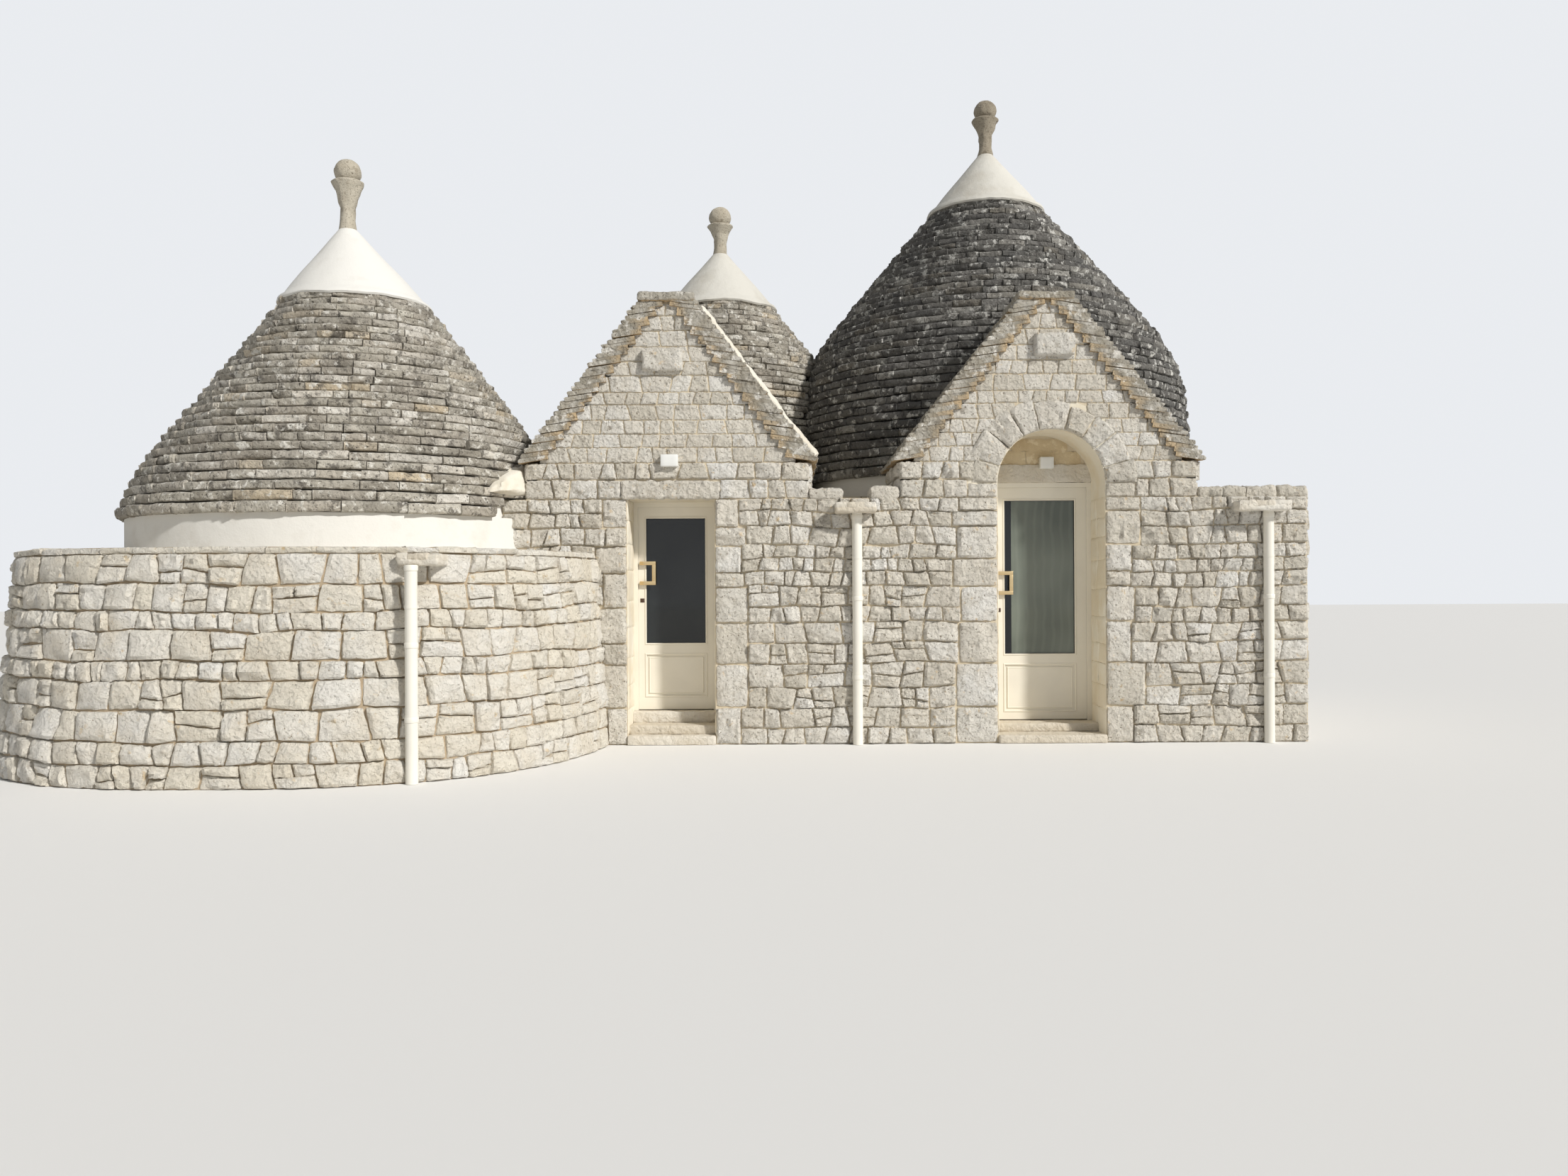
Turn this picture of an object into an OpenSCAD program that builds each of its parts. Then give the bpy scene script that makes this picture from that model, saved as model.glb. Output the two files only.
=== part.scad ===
// Trullo house: three dry-stone cones on thick rubble walls, two gabled doorways.
// Millimetres. X runs to the right along the front, Y runs into the house, Z is up.
// The origin lies on the ground under the floor of the middle room.

/* [Front wall] */
// Y of the outer face of the front wall
front_y = -1800; // [-2200:10:-1500]
// Thickness of the front wall
front_t = 1350; // [1100:10:1600]
// Height of the walls under the roof terrace
wall_h = 2440; // [2400:10:2480]
// Height of the parapet above the walls
parapet_h = 110; // [60:5:200]
// Thickness of the parapet
parapet_t = 350; // [250:10:450]
// X of the left end of the front wall
front_x0 = -2040; // [-2100:10:-1950]
// X of the right end of the front wall
front_x1 = 5950; // [5850:10:6200]
// Thickness of the roof terrace slab
terrace_t = 120; // [80:5:160]
// Width of the water notch in the parapet
notch_w = 280; // [150:10:340]

/* [Left trullo] */
// X of the axis of the left cone
left_x = -3850; // [-3900:5:-3830]
// Y of the axis of the left cone
left_y = -900; // [-1000:5:-800]
// Height of the low wall round the left cone
low_wall_h = 1900; // [1850:10:2000]
// Half width of the low wall at the ground
low_wall_a = 2800; // [2700:10:2900]
// Half depth of the low wall at the ground
low_wall_b = 3420; // [3300:10:3550]
// How far the low wall's centre lies right of the cone's axis
low_wall_dx = 85; // [60:5:140]
// How far the low wall leans in over its height
low_wall_batter = 140; // [60:10:220]
// Squareness of the low wall's outline, where 2 is an ellipse
low_wall_square = 2.6; // [2.2:0.1:3.2]
// Half side of the room under the left cone
left_room = 1490; // [1400:10:1510]
// Radius of the left cone at its eaves
left_eaves_r = 2215; // [2180:5:2260]
// Height of the left cone's eaves above the ground
left_eaves_z = 2250; // [2200:10:2300]
// Height of the slab courses on the left cone
left_cone_h = 2330; // [2200:10:2450]
// Radius of the left cone where its white cap starts
left_cap_r = 750; // [650:10:800]
// Height of the white cap on the left cone
left_cap_h = 820; // [700:10:900]
// Steepness of the left cone against a straight side, which is 1
left_steep = 1.15; // [1.05:0.01:1.4]
// Courses of slabs on the left cone
left_courses = 27; // [20:1:32]
// Height of the left finial
left_finial_h = 760; // [600:10:850]

/* [Middle trullo] */
// X of the axis of the middle cone
mid_x = -50; // [-90:5:-10]
// Y of the axis of the middle cone
mid_y = 1700; // [1660:5:1760]
// Half width of the room under the middle cone
mid_room = 1050; // [1020:10:1080]
// Y of the back face of the middle room
mid_room_y1 = 2800; // [2780:10:2900]
// Inner radius of the middle dome at its foot
mid_dome_r = 820; // [760:10:830]
// Radius of the middle cone at its eaves
mid_eaves_r = 1500; // [1450:5:1560]
// Height of the middle cone's eaves above the ground
mid_eaves_z = 2800; // [2740:10:2840]
// Height of the slab courses on the middle cone
mid_cone_h = 2330; // [2200:10:2450]
// Radius of the middle cone where its white cap starts
mid_cap_r = 690; // [600:10:740]
// Height of the white cap on the middle cone
mid_cap_h = 720; // [640:10:800]
// Steepness of the middle cone against a straight side, which is 1
mid_steep = 2.3; // [2:0.05:2.6]
// Courses of slabs on the middle cone
mid_courses = 29; // [22:1:34]
// Height of the middle finial
mid_finial_h = 620; // [560:10:760]

/* [Right trullo] */
// X of the axis of the right cone
right_x = 3325; // [3300:5:3360]
// Y of the axis of the right cone
right_y = 1400; // [1380:5:1430]
// Half width of the room under the right cone
right_room = 1850; // [1800:10:1880]
// Radius of the right cone at its eaves
right_eaves_r = 2425; // [2380:5:2450]
// Height of the right cone's eaves above the ground
right_eaves_z = 2790; // [2740:10:2840]
// Height of the slab courses on the right cone
right_cone_h = 3460; // [3250:10:3600]
// Radius of the right cone where its white cap starts
right_cap_r = 695; // [600:5:760]
// Height of the white cap on the right cone
right_cap_h = 750; // [640:10:850]
// Steepness of the right cone against a straight side, which is 1
right_steep = 1.67; // [1.5:0.01:1.9]
// Courses of slabs on the right cone
right_courses = 39; // [30:1:44]
// Height of the right finial
right_finial_h = 700; // [600:10:800]

/* [Cones] */
// Depth of a roof slab into the cone
slab_depth = 190; // [150:5:210]
// Overhang of the eaves over the white drum
eaves_over = 70; // [40:5:100]
// Radius of the finial balls
ball_r = 140; // [110:5:160]
// Radius of the finial cups
cup_r = 165; // [140:5:190]
// Radius of the finial necks
neck_r = 78; // [60:2:90]

/* [Gables] */
// X of the middle of the left gable
lgable_x = -400; // [-430:5:-370]
// Width of the left gable's wall
lgable_w = 2820; // [2780:10:2860]
// Depth of the left gable's block and roof
lgable_depth = 2300; // [2000:10:2400]
// X of the middle of the right gable
rgable_x = 3380; // [3360:5:3400]
// Width of the right gable's wall
rgable_w = 2960; // [2900:10:3020]
// Depth of the right gable's block and roof
rgable_depth = 1300; // [1200:10:1340]
// Height of the gable eaves
gable_eaves_z = 2800; // [2760:10:2850]
// Height of the underside of the ridge stones
ridge_z = 4400; // [4300:10:4500]
// Courses of corbelled slabs on each gable slope
gable_courses = 17; // [12:1:20]
// Length of a gable slab along the slope's course
gable_slab = 290; // [250:10:320]
// Half width of the gable roof at the ridge
ridge_half = 275; // [240:5:320]
// Overhang of the gable roof beyond the wall at the sides
gable_over = 80; // [50:5:110]
// Overhang of the gable roof beyond the wall at the front
gable_front = 60; // [30:5:100]
// Thickness of the ridge stones
ridge_t = 90; // [60:5:120]

/* [Doors] */
// X of the middle of the left doorway
ldoor_x = -370; // [-390:5:-350]
// Width of the left doorway
ldoor_w = 874; // [860:2:880]
// Height of the floor in the left and middle rooms
lfloor = 290; // [240:5:320]
// Depth of the left door in its recess
lrecess = 480; // [420:10:560]
// X of the middle of the right doorway
rdoor_x = 3412; // [3402:2:3422]
// Width of the right doorway
rdoor_w = 1070; // [1040:2:1080]
// Height of the floor in the right room
rfloor = 160; // [120:5:200]
// Depth of the right door in its recess
rrecess = 540; // [480:10:600]
// Height of the right door's frame above the ground
rdoor_top = 2630; // [2600:5:2640]
// Height at which the right doorway's arch springs
arch_z = 2580; // [2560:5:2600]
// Width of the ring of arch stones
arch_ring = 300; // [250:10:320]
// Number of arch stones
arch_stones = 9; // [7:2:11]
// Thickness of the door leaves
leaf_t = 50; // [42:2:60]
// Visible width of the door frames
frame_w = 35; // [30:1:45]
// Clearance round a door leaf
leaf_gap = 8; // [7:0.5:9]
// Radius of a hinge barrel
hinge_r = 9; // [8:0.5:10]

/* [Fittings] */
// Radius of the downpipes
pipe_r = 50; // [40:1:55]
// X of the left downpipe
pipe_left_x = -2230; // [-2260:10:-2150]
// X of the middle downpipe
pipe_mid_x = 1475; // [1460:5:1490]
// X of the right downpipe
pipe_right_x = 5540; // [5450:10:5650]
// Width of the middle spout slab
spout_w = 390; // [330:10:420]
// Thickness of a spout slab
spout_t = 90; // [70:5:110]
// How far a spout slab stands out of the wall
spout_out = 230; // [180:10:280]
// How far a spout slab runs into the wall
spout_in = 260; // [200:10:320]

/* [Hidden] */
$fn = 180;

limestone = "#cfc3a8";
roof_stone = "#8f8a7c";
lime = "#f1eee6";
painted = "#efe6cf";

far = 20000;
front_in = front_y + front_t;
low_x = left_x + low_wall_dx;
room_x0 = left_x - left_room;
room_x1 = left_x + left_room;
room_y0 = left_y - left_room;
room_y1 = left_y + left_room;
mid_x0 = mid_x - mid_room;
mid_x1 = mid_x + mid_room;
right_x0 = right_x - right_room;
right_x1 = right_x + right_room;
right_y1 = right_y + right_room;
block_x0 = lgable_x - lgable_w / 2;
mid_wall_back_t = 600;
right_wall_back_t = 750;
terrace_z = wall_h + terrace_t;
passage_y0 = front_in + 100;
passage_w = 800;
passage_y1 = passage_y0 + passage_w;
passage_h = 1800;

// Plan outline of the low wall: a rounded square between an ellipse and a rectangle.
function signed_pow(v, e) = sign(v) * pow(abs(v), e);
function rounded_square(a, b, n, count) = [
    for (i = [0 : count - 1])
        let (angle = 360 * i / count)
        [a * signed_pow(cos(angle), 2 / n), b * signed_pow(sin(angle), 2 / n)]
];
low_wall_points = 56;

// Front edge of the low wall at the ground for a given X.
function low_wall_front(x) =
    left_y - low_wall_b * pow(1 - pow(abs(x - low_x) / low_wall_a, low_wall_square),
                              1 / low_wall_square);

// Radius of a cone at the share t of its height, from the eaves (0) to the cap (1):
// a straight upper side that bends over a shoulder into an upright foot.
shoulder = 8;
function bend(u) = u / pow(1 + pow(u, shoulder), 1 / shoulder);
function cone_r(t, eaves_r, cap_r, steep) =
    cap_r + (eaves_r - cap_r) * bend(steep * (1 - t)) / bend(steep);

// Front edge of the low wall at the height z, where its lean has drawn it in.
function low_wall_face(x, z) =
    let (share = 1 - low_wall_batter / low_wall_a * z / low_wall_h)
    left_y + share * (low_wall_front(low_x + (x - low_x) / share) - left_y);

// Smooth side of a cone as [radius, height] points, drawn in by inset.
side_steps = 9;
function cone_side(eaves_r, cap_r, eaves_z, cone_h, steep, inset) = [
    for (i = [0 : side_steps])
        let (t = i / side_steps)
        [cone_r(t, eaves_r, cap_r, steep) - inset, eaves_z + cone_h * t]
];

function reversed(list) = [for (i = [len(list) - 1 : -1 : 0]) list[i]];

// Solid shell of corbelled stone: a drum, then a dome that narrows to a closed top.
module dome_shell(eaves_r, cap_r, base_z, eaves_z, cone_h, steep, room_r) {
    crown_t = 250;
    vent_r = 220;
    inner_h = cone_h - crown_t;
    outer = cone_side(eaves_r, cap_r, eaves_z, cone_h, steep, slab_depth);
    inner = cone_side(room_r, vent_r, eaves_z, inner_h, steep, 0);
    rotate_extrude()
        polygon(concat(
            [[room_r, base_z], [eaves_r - eaves_over, base_z], [eaves_r - eaves_over, eaves_z]],
            outer,
            [[0, eaves_z + cone_h], [0, eaves_z + inner_h]],
            reversed(inner)
        ));
}

// Stepped skin of thin slabs: each course stands back from the one below it, and its
// face stands where the cone's side passes the course at this share of its height.
face_share = 0.6;
module slab_skin(eaves_r, cap_r, eaves_z, cone_h, steep, courses) {
    pitch = cone_h / courses;
    steps = [
        for (i = [0 : courses - 1])
            let (t = i == 0 ? 0 : (i + face_share) / courses)
            let (r = cone_r(t, eaves_r, cap_r, steep))
            each [[r, eaves_z + pitch * i], [r - 8, eaves_z + pitch * (i + 1)]]
    ];
    rotate_extrude()
        polygon(concat(
            steps,
            reversed(cone_side(eaves_r, cap_r, eaves_z, cone_h, steep, slab_depth))
        ));
}

// Space that a cone with its slabs takes up, used to end the gable roofs against it.
module cone_space(eaves_r, cap_r, base_z, eaves_z, cone_h, steep) {
    gap = 45;
    rotate_extrude()
        polygon(concat(
            [[0, base_z], [eaves_r + gap, base_z]],
            cone_side(eaves_r, cap_r, eaves_z, cone_h, steep, -gap),
            [[0, eaves_z + cone_h]]
        ));
}

// White lime cap: a cone that sweeps up into the neck of the finial.
module lime_cap(base_r, base_z, height) {
    flare = 0.16;
    top_r = neck_r + 14;
    curve = [
        for (i = [0 : 8])
            let (t = i / 8)
            [top_r + (base_r - top_r) * (1 - t) * (1 + flare * t) / (1 + flare * t * t),
             base_z + height * t]
    ];
    rotate_extrude()
        polygon(concat([[0, base_z]], curve, [[0, base_z + height]]));
}

// Stone finial: a neck, an open cup and a ball that rests in it.
cup_below_ball = 0.86;
cup_flare = 1.7;
neck_share = 0.24;
foot_share = 0.6;
module finial(base_z, height) {
    ball_z = height - ball_r;
    cup_z = ball_z - ball_r * cup_below_ball;
    neck_z = height * neck_share;
    cup_curve = [
        for (i = [0 : 6])
            let (t = i / 6)
            [neck_r + (cup_r - neck_r) * pow(t, cup_flare), neck_z + (cup_z - neck_z) * t]
    ];
    translate([0, 0, base_z]) {
        rotate_extrude()
            polygon(concat([[0, 0], [neck_r + 14, 0], [neck_r, neck_z * foot_share]], cup_curve,
                           [[cup_r - 12, cup_z + 14], [0, cup_z + 14]]));
        translate([0, 0, ball_z]) sphere(r = ball_r);
    }
}

// Battered block under the left trullo, cut into the parts below.
module low_wall_block() {
    translate([low_x, left_y, 0])
        linear_extrude(height = low_wall_h, scale = 1 - low_wall_batter / low_wall_a)
            polygon(rounded_square(low_wall_a, low_wall_b, low_wall_square, low_wall_points));
}

module zone(x0, y0, x1, y1, z0, z1) {
    translate([x0, y0, z0]) cube([x1 - x0, y1 - y0, z1 - z0]);
}

module left_wall_front() {
    color(limestone) difference() {
        intersection() {
            low_wall_block();
            zone(-far, -far, room_x1, room_y0, 0, low_wall_h);
        }
        spout_slot(0, low_wall_face(spout_x[0], low_wall_h), low_wall_h);
    }
}

module left_wall_corner() {
    color(limestone) difference() {
        intersection() {
            low_wall_block();
            zone(room_x1, -far, far, front_in, 0, low_wall_h);
        }
        zone(front_x0, front_y, far, far, -1, far);
        spout_slot(0, low_wall_face(spout_x[0], low_wall_h), low_wall_h);
    }
}

module left_wall_side() {
    color(limestone) intersection() {
        low_wall_block();
        zone(-far, room_y0, room_x0, room_y1, 0, low_wall_h);
    }
}

module left_wall_back() {
    color(limestone) intersection() {
        low_wall_block();
        zone(-far, room_y1, room_x1, far, 0, low_wall_h);
    }
}

// Masonry between the left room and the middle room, with the way through it.
module left_wall_flank() {
    color(limestone) difference() {
        intersection() {
            low_wall_block();
            zone(room_x1, front_in, block_x0, far, 0, low_wall_h);
        }
        zone(room_x1 - 1, passage_y0, block_x0 + 1, passage_y1, -1, passage_h);
    }
}

// What the house front and the left gable's roof take away from the left cone.
gable_clear = 5;
module front_block_space() {
    zone(front_x0, front_y, far, front_in, 0, wall_h);
    zone(block_x0, front_y, far, far, 0, gable_eaves_z);
    zone(block_x0 - gable_over - gable_clear, -far, far, far, gable_eaves_z, ridge_z);
}

module left_dome() {
    color(lime) difference() {
        translate([left_x, left_y, 0])
            dome_shell(left_eaves_r, left_cap_r, low_wall_h, left_eaves_z, left_cone_h,
                       left_steep, left_room);
        front_block_space();
    }
}

module left_roof_slabs() {
    color(roof_stone) difference() {
        translate([left_x, left_y, 0])
            slab_skin(left_eaves_r, left_cap_r, left_eaves_z, left_cone_h, left_steep,
                      left_courses);
        front_block_space();
    }
}

module left_cap() {
    color(lime) translate([left_x, left_y, 0])
        lime_cap(left_cap_r, left_eaves_z + left_cone_h, left_cap_h);
}

module left_finial() {
    color(limestone) translate([left_x, left_y, 0])
        finial(left_eaves_z + left_cone_h + left_cap_h, left_finial_h);
}

module middle_wall_left() {
    color(limestone) difference() {
        zone(block_x0, front_in, mid_x0, mid_room_y1 + mid_wall_back_t, 0, wall_h);
        zone(block_x0 - 1, passage_y0, mid_x0 + 1, passage_y1, -1, passage_h);
    }
}

module middle_wall_right() {
    color(limestone) zone(mid_x1, front_in, right_x0, right_y1, 0, wall_h);
}

module middle_wall_back() {
    color(limestone)
        zone(mid_x0, mid_room_y1, mid_x1, mid_room_y1 + mid_wall_back_t, 0, wall_h);
}

// The middle cone dies into the right one where the two meet.
module right_cone_space() {
    translate([right_x, right_y, 0])
        cone_space(right_eaves_r, right_cap_r, terrace_z - 1, right_eaves_z, right_cone_h,
                   right_steep);
}

module middle_cone_space() {
    translate([mid_x, mid_y, 0])
        cone_space(mid_eaves_r, mid_cap_r, terrace_z - 1, mid_eaves_z, mid_cone_h, mid_steep);
}

module middle_dome() {
    color(lime) difference() {
        translate([mid_x, mid_y, 0])
            dome_shell(mid_eaves_r, mid_cap_r, terrace_z, mid_eaves_z, mid_cone_h, mid_steep,
                       mid_dome_r);
        right_cone_space();
    }
}

module middle_roof_slabs() {
    color(roof_stone) difference() {
        translate([mid_x, mid_y, 0])
            slab_skin(mid_eaves_r, mid_cap_r, mid_eaves_z, mid_cone_h, mid_steep, mid_courses);
        right_cone_space();
    }
}

module middle_cap() {
    color(lime) translate([mid_x, mid_y, 0])
        lime_cap(mid_cap_r, mid_eaves_z + mid_cone_h, mid_cap_h);
}

module middle_finial() {
    color(limestone) translate([mid_x, mid_y, 0])
        finial(mid_eaves_z + mid_cone_h + mid_cap_h, mid_finial_h);
}

module right_wall_side() {
    color(limestone) zone(right_x1, front_in, front_x1, right_y1, 0, wall_h);
}

module right_wall_back() {
    color(limestone)
        zone(mid_x1, right_y1, front_x1, right_y1 + right_wall_back_t, 0, wall_h);
}

// Way in behind the right door, high enough for the leaf to swing.
module right_passage() {
    zone(rdoor_x - rdoor_w / 2 - 40, front_y + rrecess, rdoor_x + rdoor_w / 2 + 40,
         right_y - right_room + 260, 0, rdoor_top + 10);
}

module right_dome() {
    color(lime) difference() {
        translate([right_x, right_y, 0])
            dome_shell(right_eaves_r, right_cap_r, terrace_z, right_eaves_z, right_cone_h,
                       right_steep, right_room);
        right_passage();
    }
}

module right_roof_slabs() {
    color(roof_stone) translate([right_x, right_y, 0])
        slab_skin(right_eaves_r, right_cap_r, right_eaves_z, right_cone_h, right_steep,
                  right_courses);
}

module right_cap() {
    color(lime) translate([right_x, right_y, 0])
        lime_cap(right_cap_r, right_eaves_z + right_cone_h, right_cap_h);
}

module right_finial() {
    color(limestone) translate([right_x, right_y, 0])
        finial(right_eaves_z + right_cone_h + right_cap_h, right_finial_h);
}

// Spout slabs, left to right: where their middles are, and their widths.
spout_x = [pipe_left_x + 30, pipe_mid_x - 20, pipe_right_x - 90];
spout_width = [spout_w - 60, spout_w, spout_w + 120];

// Slot in a wall that a spout slab is bedded in, open at the wall's face.
spout_drop = 60;
module spout_slot(i, face_y, top) {
    zone(spout_x[i] - spout_width[i] / 2, face_y - 2 * spout_out,
         spout_x[i] + spout_width[i] / 2, face_y + spout_in,
         top - spout_drop - spout_t, top - spout_drop);
}

module front_wall_left() {
    color(limestone)
        zone(front_x0, front_y, ldoor_x - ldoor_w / 2, front_in, 0, wall_h);
}

module front_wall_middle() {
    color(limestone) difference() {
        zone(ldoor_x + ldoor_w / 2, front_y, rdoor_x - rdoor_w / 2, front_in, 0, wall_h);
        spout_slot(1, front_y, wall_h);
    }
}

module front_wall_right() {
    color(limestone) difference() {
        zone(rdoor_x + rdoor_w / 2, front_y, front_x1, front_in, 0, wall_h);
        spout_slot(2, front_y, wall_h);
    }
}

// Low upstand along the front between and beside the gables, with a notch for water.
module parapet() {
    color(limestone) {
        between_x0 = lgable_x + lgable_w / 2;
        between_x1 = rgable_x - rgable_w / 2;
        zone(between_x0, front_y, pipe_mid_x - notch_w / 2, front_y + parapet_t,
             wall_h, wall_h + parapet_h);
        zone(pipe_mid_x + notch_w / 2, front_y, between_x1, front_y + parapet_t,
             wall_h, wall_h + parapet_h);
        zone(rgable_x + rgable_w / 2, front_y, front_x1, front_y + parapet_t,
             wall_h, wall_h + parapet_h);
    }
}

// Flat roof slab behind the front wall, open under the middle and right domes.
module terrace() {
    color(limestone) difference() {
        union() {
            zone(block_x0, front_in, mid_x1, mid_room_y1 + mid_wall_back_t, wall_h, terrace_z);
            zone(mid_x1 - 1, front_in, front_x1, right_y1 + right_wall_back_t,
                 wall_h, terrace_z);
        }
        translate([mid_x, mid_y, wall_h - 1])
            cylinder(r = mid_dome_r, h = terrace_t + 2);
        translate([right_x, right_y, wall_h - 1])
            cylinder(r = right_room, h = terrace_t + 2);
        right_passage();
    }
}

// Paved floors of the rooms, with the floors of the doorways and of the way between.
module floors() {
    color(limestone) {
        zone(room_x0, room_y0, room_x1, room_y1, 0, lfloor);
        zone(room_x1 - 1, passage_y0, mid_x0 + 1, passage_y1, 0, lfloor);
        zone(mid_x0, front_in, mid_x1, mid_room_y1, 0, lfloor);
        zone(ldoor_x - ldoor_w / 2, front_y + lrecess, ldoor_x + ldoor_w / 2, front_in + 1,
             0, lfloor);
        zone(right_x0, front_in, right_x1, right_y1, 0, rfloor);
        zone(rdoor_x - rdoor_w / 2, front_y + rrecess, rdoor_x + rdoor_w / 2, front_in + 1,
             0, rfloor);
    }
}

// Outer and inner ends of a gable's slabs as half widths at the course i.
function slope_x(i, half_w) =
    ridge_half + (half_w + gable_over - ridge_half) * (gable_courses - i) / gable_courses;
function slope_in(i, half_w) = min(half_w, slope_x(i, half_w) - gable_slab);
gable_pitch = (ridge_z - gable_eaves_z) / gable_courses;
function course_z(i) = gable_eaves_z + gable_pitch * i;

// Stepped line up one slope, with one step to a course.
function outer_steps(half_w) = [
    for (i = [0 : gable_courses - 1], up = [0, 1]) [slope_x(i, half_w), course_z(i + up)]
];
function inner_steps(half_w) = [
    for (i = [0 : gable_courses - 1], up = [0, 1]) [slope_in(i, half_w), course_z(i + up)]
];
function mirrored(points) = [for (p = reversed(points)) [-p[0], p[1]]];

// Stepped front of a gable's masonry, from the wall top up to the ridge.
module gable_face(half_w, base_z) {
    right_side = concat([[half_w, base_z]], inner_steps(half_w));
    polygon(concat(right_side, mirrored(right_side)));
}

// Corbelled slabs of both slopes.
module gable_slabs(half_w) {
    band = concat(outer_steps(half_w), reversed(inner_steps(half_w)));
    polygon(band);
    polygon(mirrored(band));
}

// Lays a drawing of a front view (x, z) along the depth of the house.
module along_y(x, y0, depth) {
    translate([x, y0 + depth, 0]) rotate([90, 0, 0]) linear_extrude(height = depth) children();
}

lintel_h = 175;
lintel_over = 50;
lintel_depth = 900;
module lintel_shape(width, base_z) {
    translate([-width / 2 - lintel_over, base_z]) square([width + 2 * lintel_over, lintel_h]);
}

module left_gable_wall() {
    color(limestone) difference() {
        along_y(lgable_x, front_y, lgable_depth) gable_face(lgable_w / 2, wall_h);
        along_y(ldoor_x, front_y - 1, lintel_depth + 1) lintel_shape(ldoor_w, wall_h);
        zone(-far, front_in, far, far, 0, terrace_z);
        middle_cone_space();
    }
}

module left_gable_roof() {
    color(roof_stone) difference() {
        along_y(lgable_x, front_y - gable_front, lgable_depth + gable_front)
            gable_slabs(lgable_w / 2);
        middle_cone_space();
        right_cone_space();
    }
}

module left_door_lintel() {
    color(limestone)
        along_y(ldoor_x, front_y, lintel_depth) lintel_shape(ldoor_w, wall_h);
}

// Front view of the arched doorway: a half round on two short upright sides.
module arch_shape(radius) {
    translate([0, arch_z]) circle(r = radius);
    translate([-radius, wall_h]) square([2 * radius, arch_z - wall_h]);
}

module arch_opening(radius) {
    intersection() {
        arch_shape(radius);
        translate([-far, wall_h]) square([2 * far, far]);
    }
}

module right_gable_wall() {
    color(limestone) difference() {
        along_y(rgable_x, front_y, rgable_depth) gable_face(rgable_w / 2, wall_h);
        along_y(rdoor_x, front_y - 1, rrecess + 1) arch_opening(rdoor_w / 2 + arch_ring);
        along_y(rdoor_x, front_y + rrecess - 1, lintel_h + 1)
            lintel_shape(rdoor_w, rdoor_top + 10);
        right_passage();
        right_cone_space();
    }
}

module right_gable_roof() {
    color(roof_stone) difference() {
        along_y(rgable_x, front_y - gable_front, rgable_depth + gable_front)
            gable_slabs(rgable_w / 2);
        right_cone_space();
    }
}

// Ring of arch stones with a fine joint between each two.
module right_arch() {
    joint_w = 12;
    joint_depth = 25;
    color(limestone) difference() {
        along_y(rdoor_x, front_y, rrecess) difference() {
            arch_opening(rdoor_w / 2 + arch_ring);
            translate([0, -1]) arch_opening(rdoor_w / 2);
            translate([-rdoor_w / 2, wall_h - 1]) square([rdoor_w, arch_z - wall_h + 1]);
        }
        for (i = [1 : arch_stones - 1])
            translate([rdoor_x, front_y - 1, arch_z])
                rotate([0, -180 * i / arch_stones, 0])
                    translate([rdoor_w / 2 - 1, 0, -joint_w / 2])
                        cube([arch_ring + 2, joint_depth + 1, joint_w]);
    }
}

module right_door_lintel() {
    color(limestone)
        along_y(rdoor_x, front_y + rrecess, lintel_h) lintel_shape(rdoor_w, rdoor_top + 10);
}

// Ridge stones along both gables and the block that stands out of each face.
block_out = 70;
block_w = 385;
block_h = 210;
block_x = [lgable_x - 45, rgable_x + 60];
block_drop = [690, 555];
module gable_stones() {
    color(limestone) {
        difference() {
            along_y(lgable_x, front_y - gable_front, lgable_depth + gable_front)
                translate([-ridge_half, ridge_z]) square([2 * ridge_half, ridge_t]);
            middle_cone_space();
        }
        difference() {
            along_y(rgable_x, front_y - gable_front, rgable_depth + gable_front)
                translate([-ridge_half, ridge_z]) square([2 * ridge_half, ridge_t]);
            right_cone_space();
        }
        for (i = [0, 1])
            zone(block_x[i] - block_w / 2, front_y - block_out, block_x[i] + block_w / 2,
                 front_y, ridge_z - block_drop[i], ridge_z - block_drop[i] + block_h);
    }
}

// Steps up to the doors.
tread_t = 90;
module doorsteps() {
    color(limestone) {
        along_x(ldoor_x - ldoor_w / 2, ldoor_w)
            polygon([[front_y - 50, 0], [front_y - 50, tread_t], [front_y + 80, tread_t],
                     [front_y + 80, 2 * tread_t], [front_y + 330, 2 * tread_t],
                     [front_y + 330, lfloor], [front_y + lrecess, lfloor],
                     [front_y + lrecess, 0]]);
        along_x(rdoor_x - rdoor_w / 2, rdoor_w)
            polygon([[front_y - 50, 0], [front_y - 50, rfloor / 2], [front_y + 250, rfloor / 2],
                     [front_y + 250, rfloor], [front_y + rrecess, rfloor],
                     [front_y + rrecess, 0]]);
    }
}

// Lays a drawing of a side view (y, z) along the front of the house.
module along_x(x0, length) {
    translate([x0, 0, 0]) rotate([90, 0, 90]) linear_extrude(height = length) children();
}

// A door stands in a frame: the frame's face is door_y, the leaf lies behind its stop.
stop_w = 12;
stop_d = 20;
stop_gap = 6;
hinge_h = 44;
hinge_side = 3;
hinge_strap = 34;
barrel_gap = 0.3;
hinge_back = 10;
frame_step = 16;
hinge_share = [0.12, 0.5, 0.88];

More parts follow.
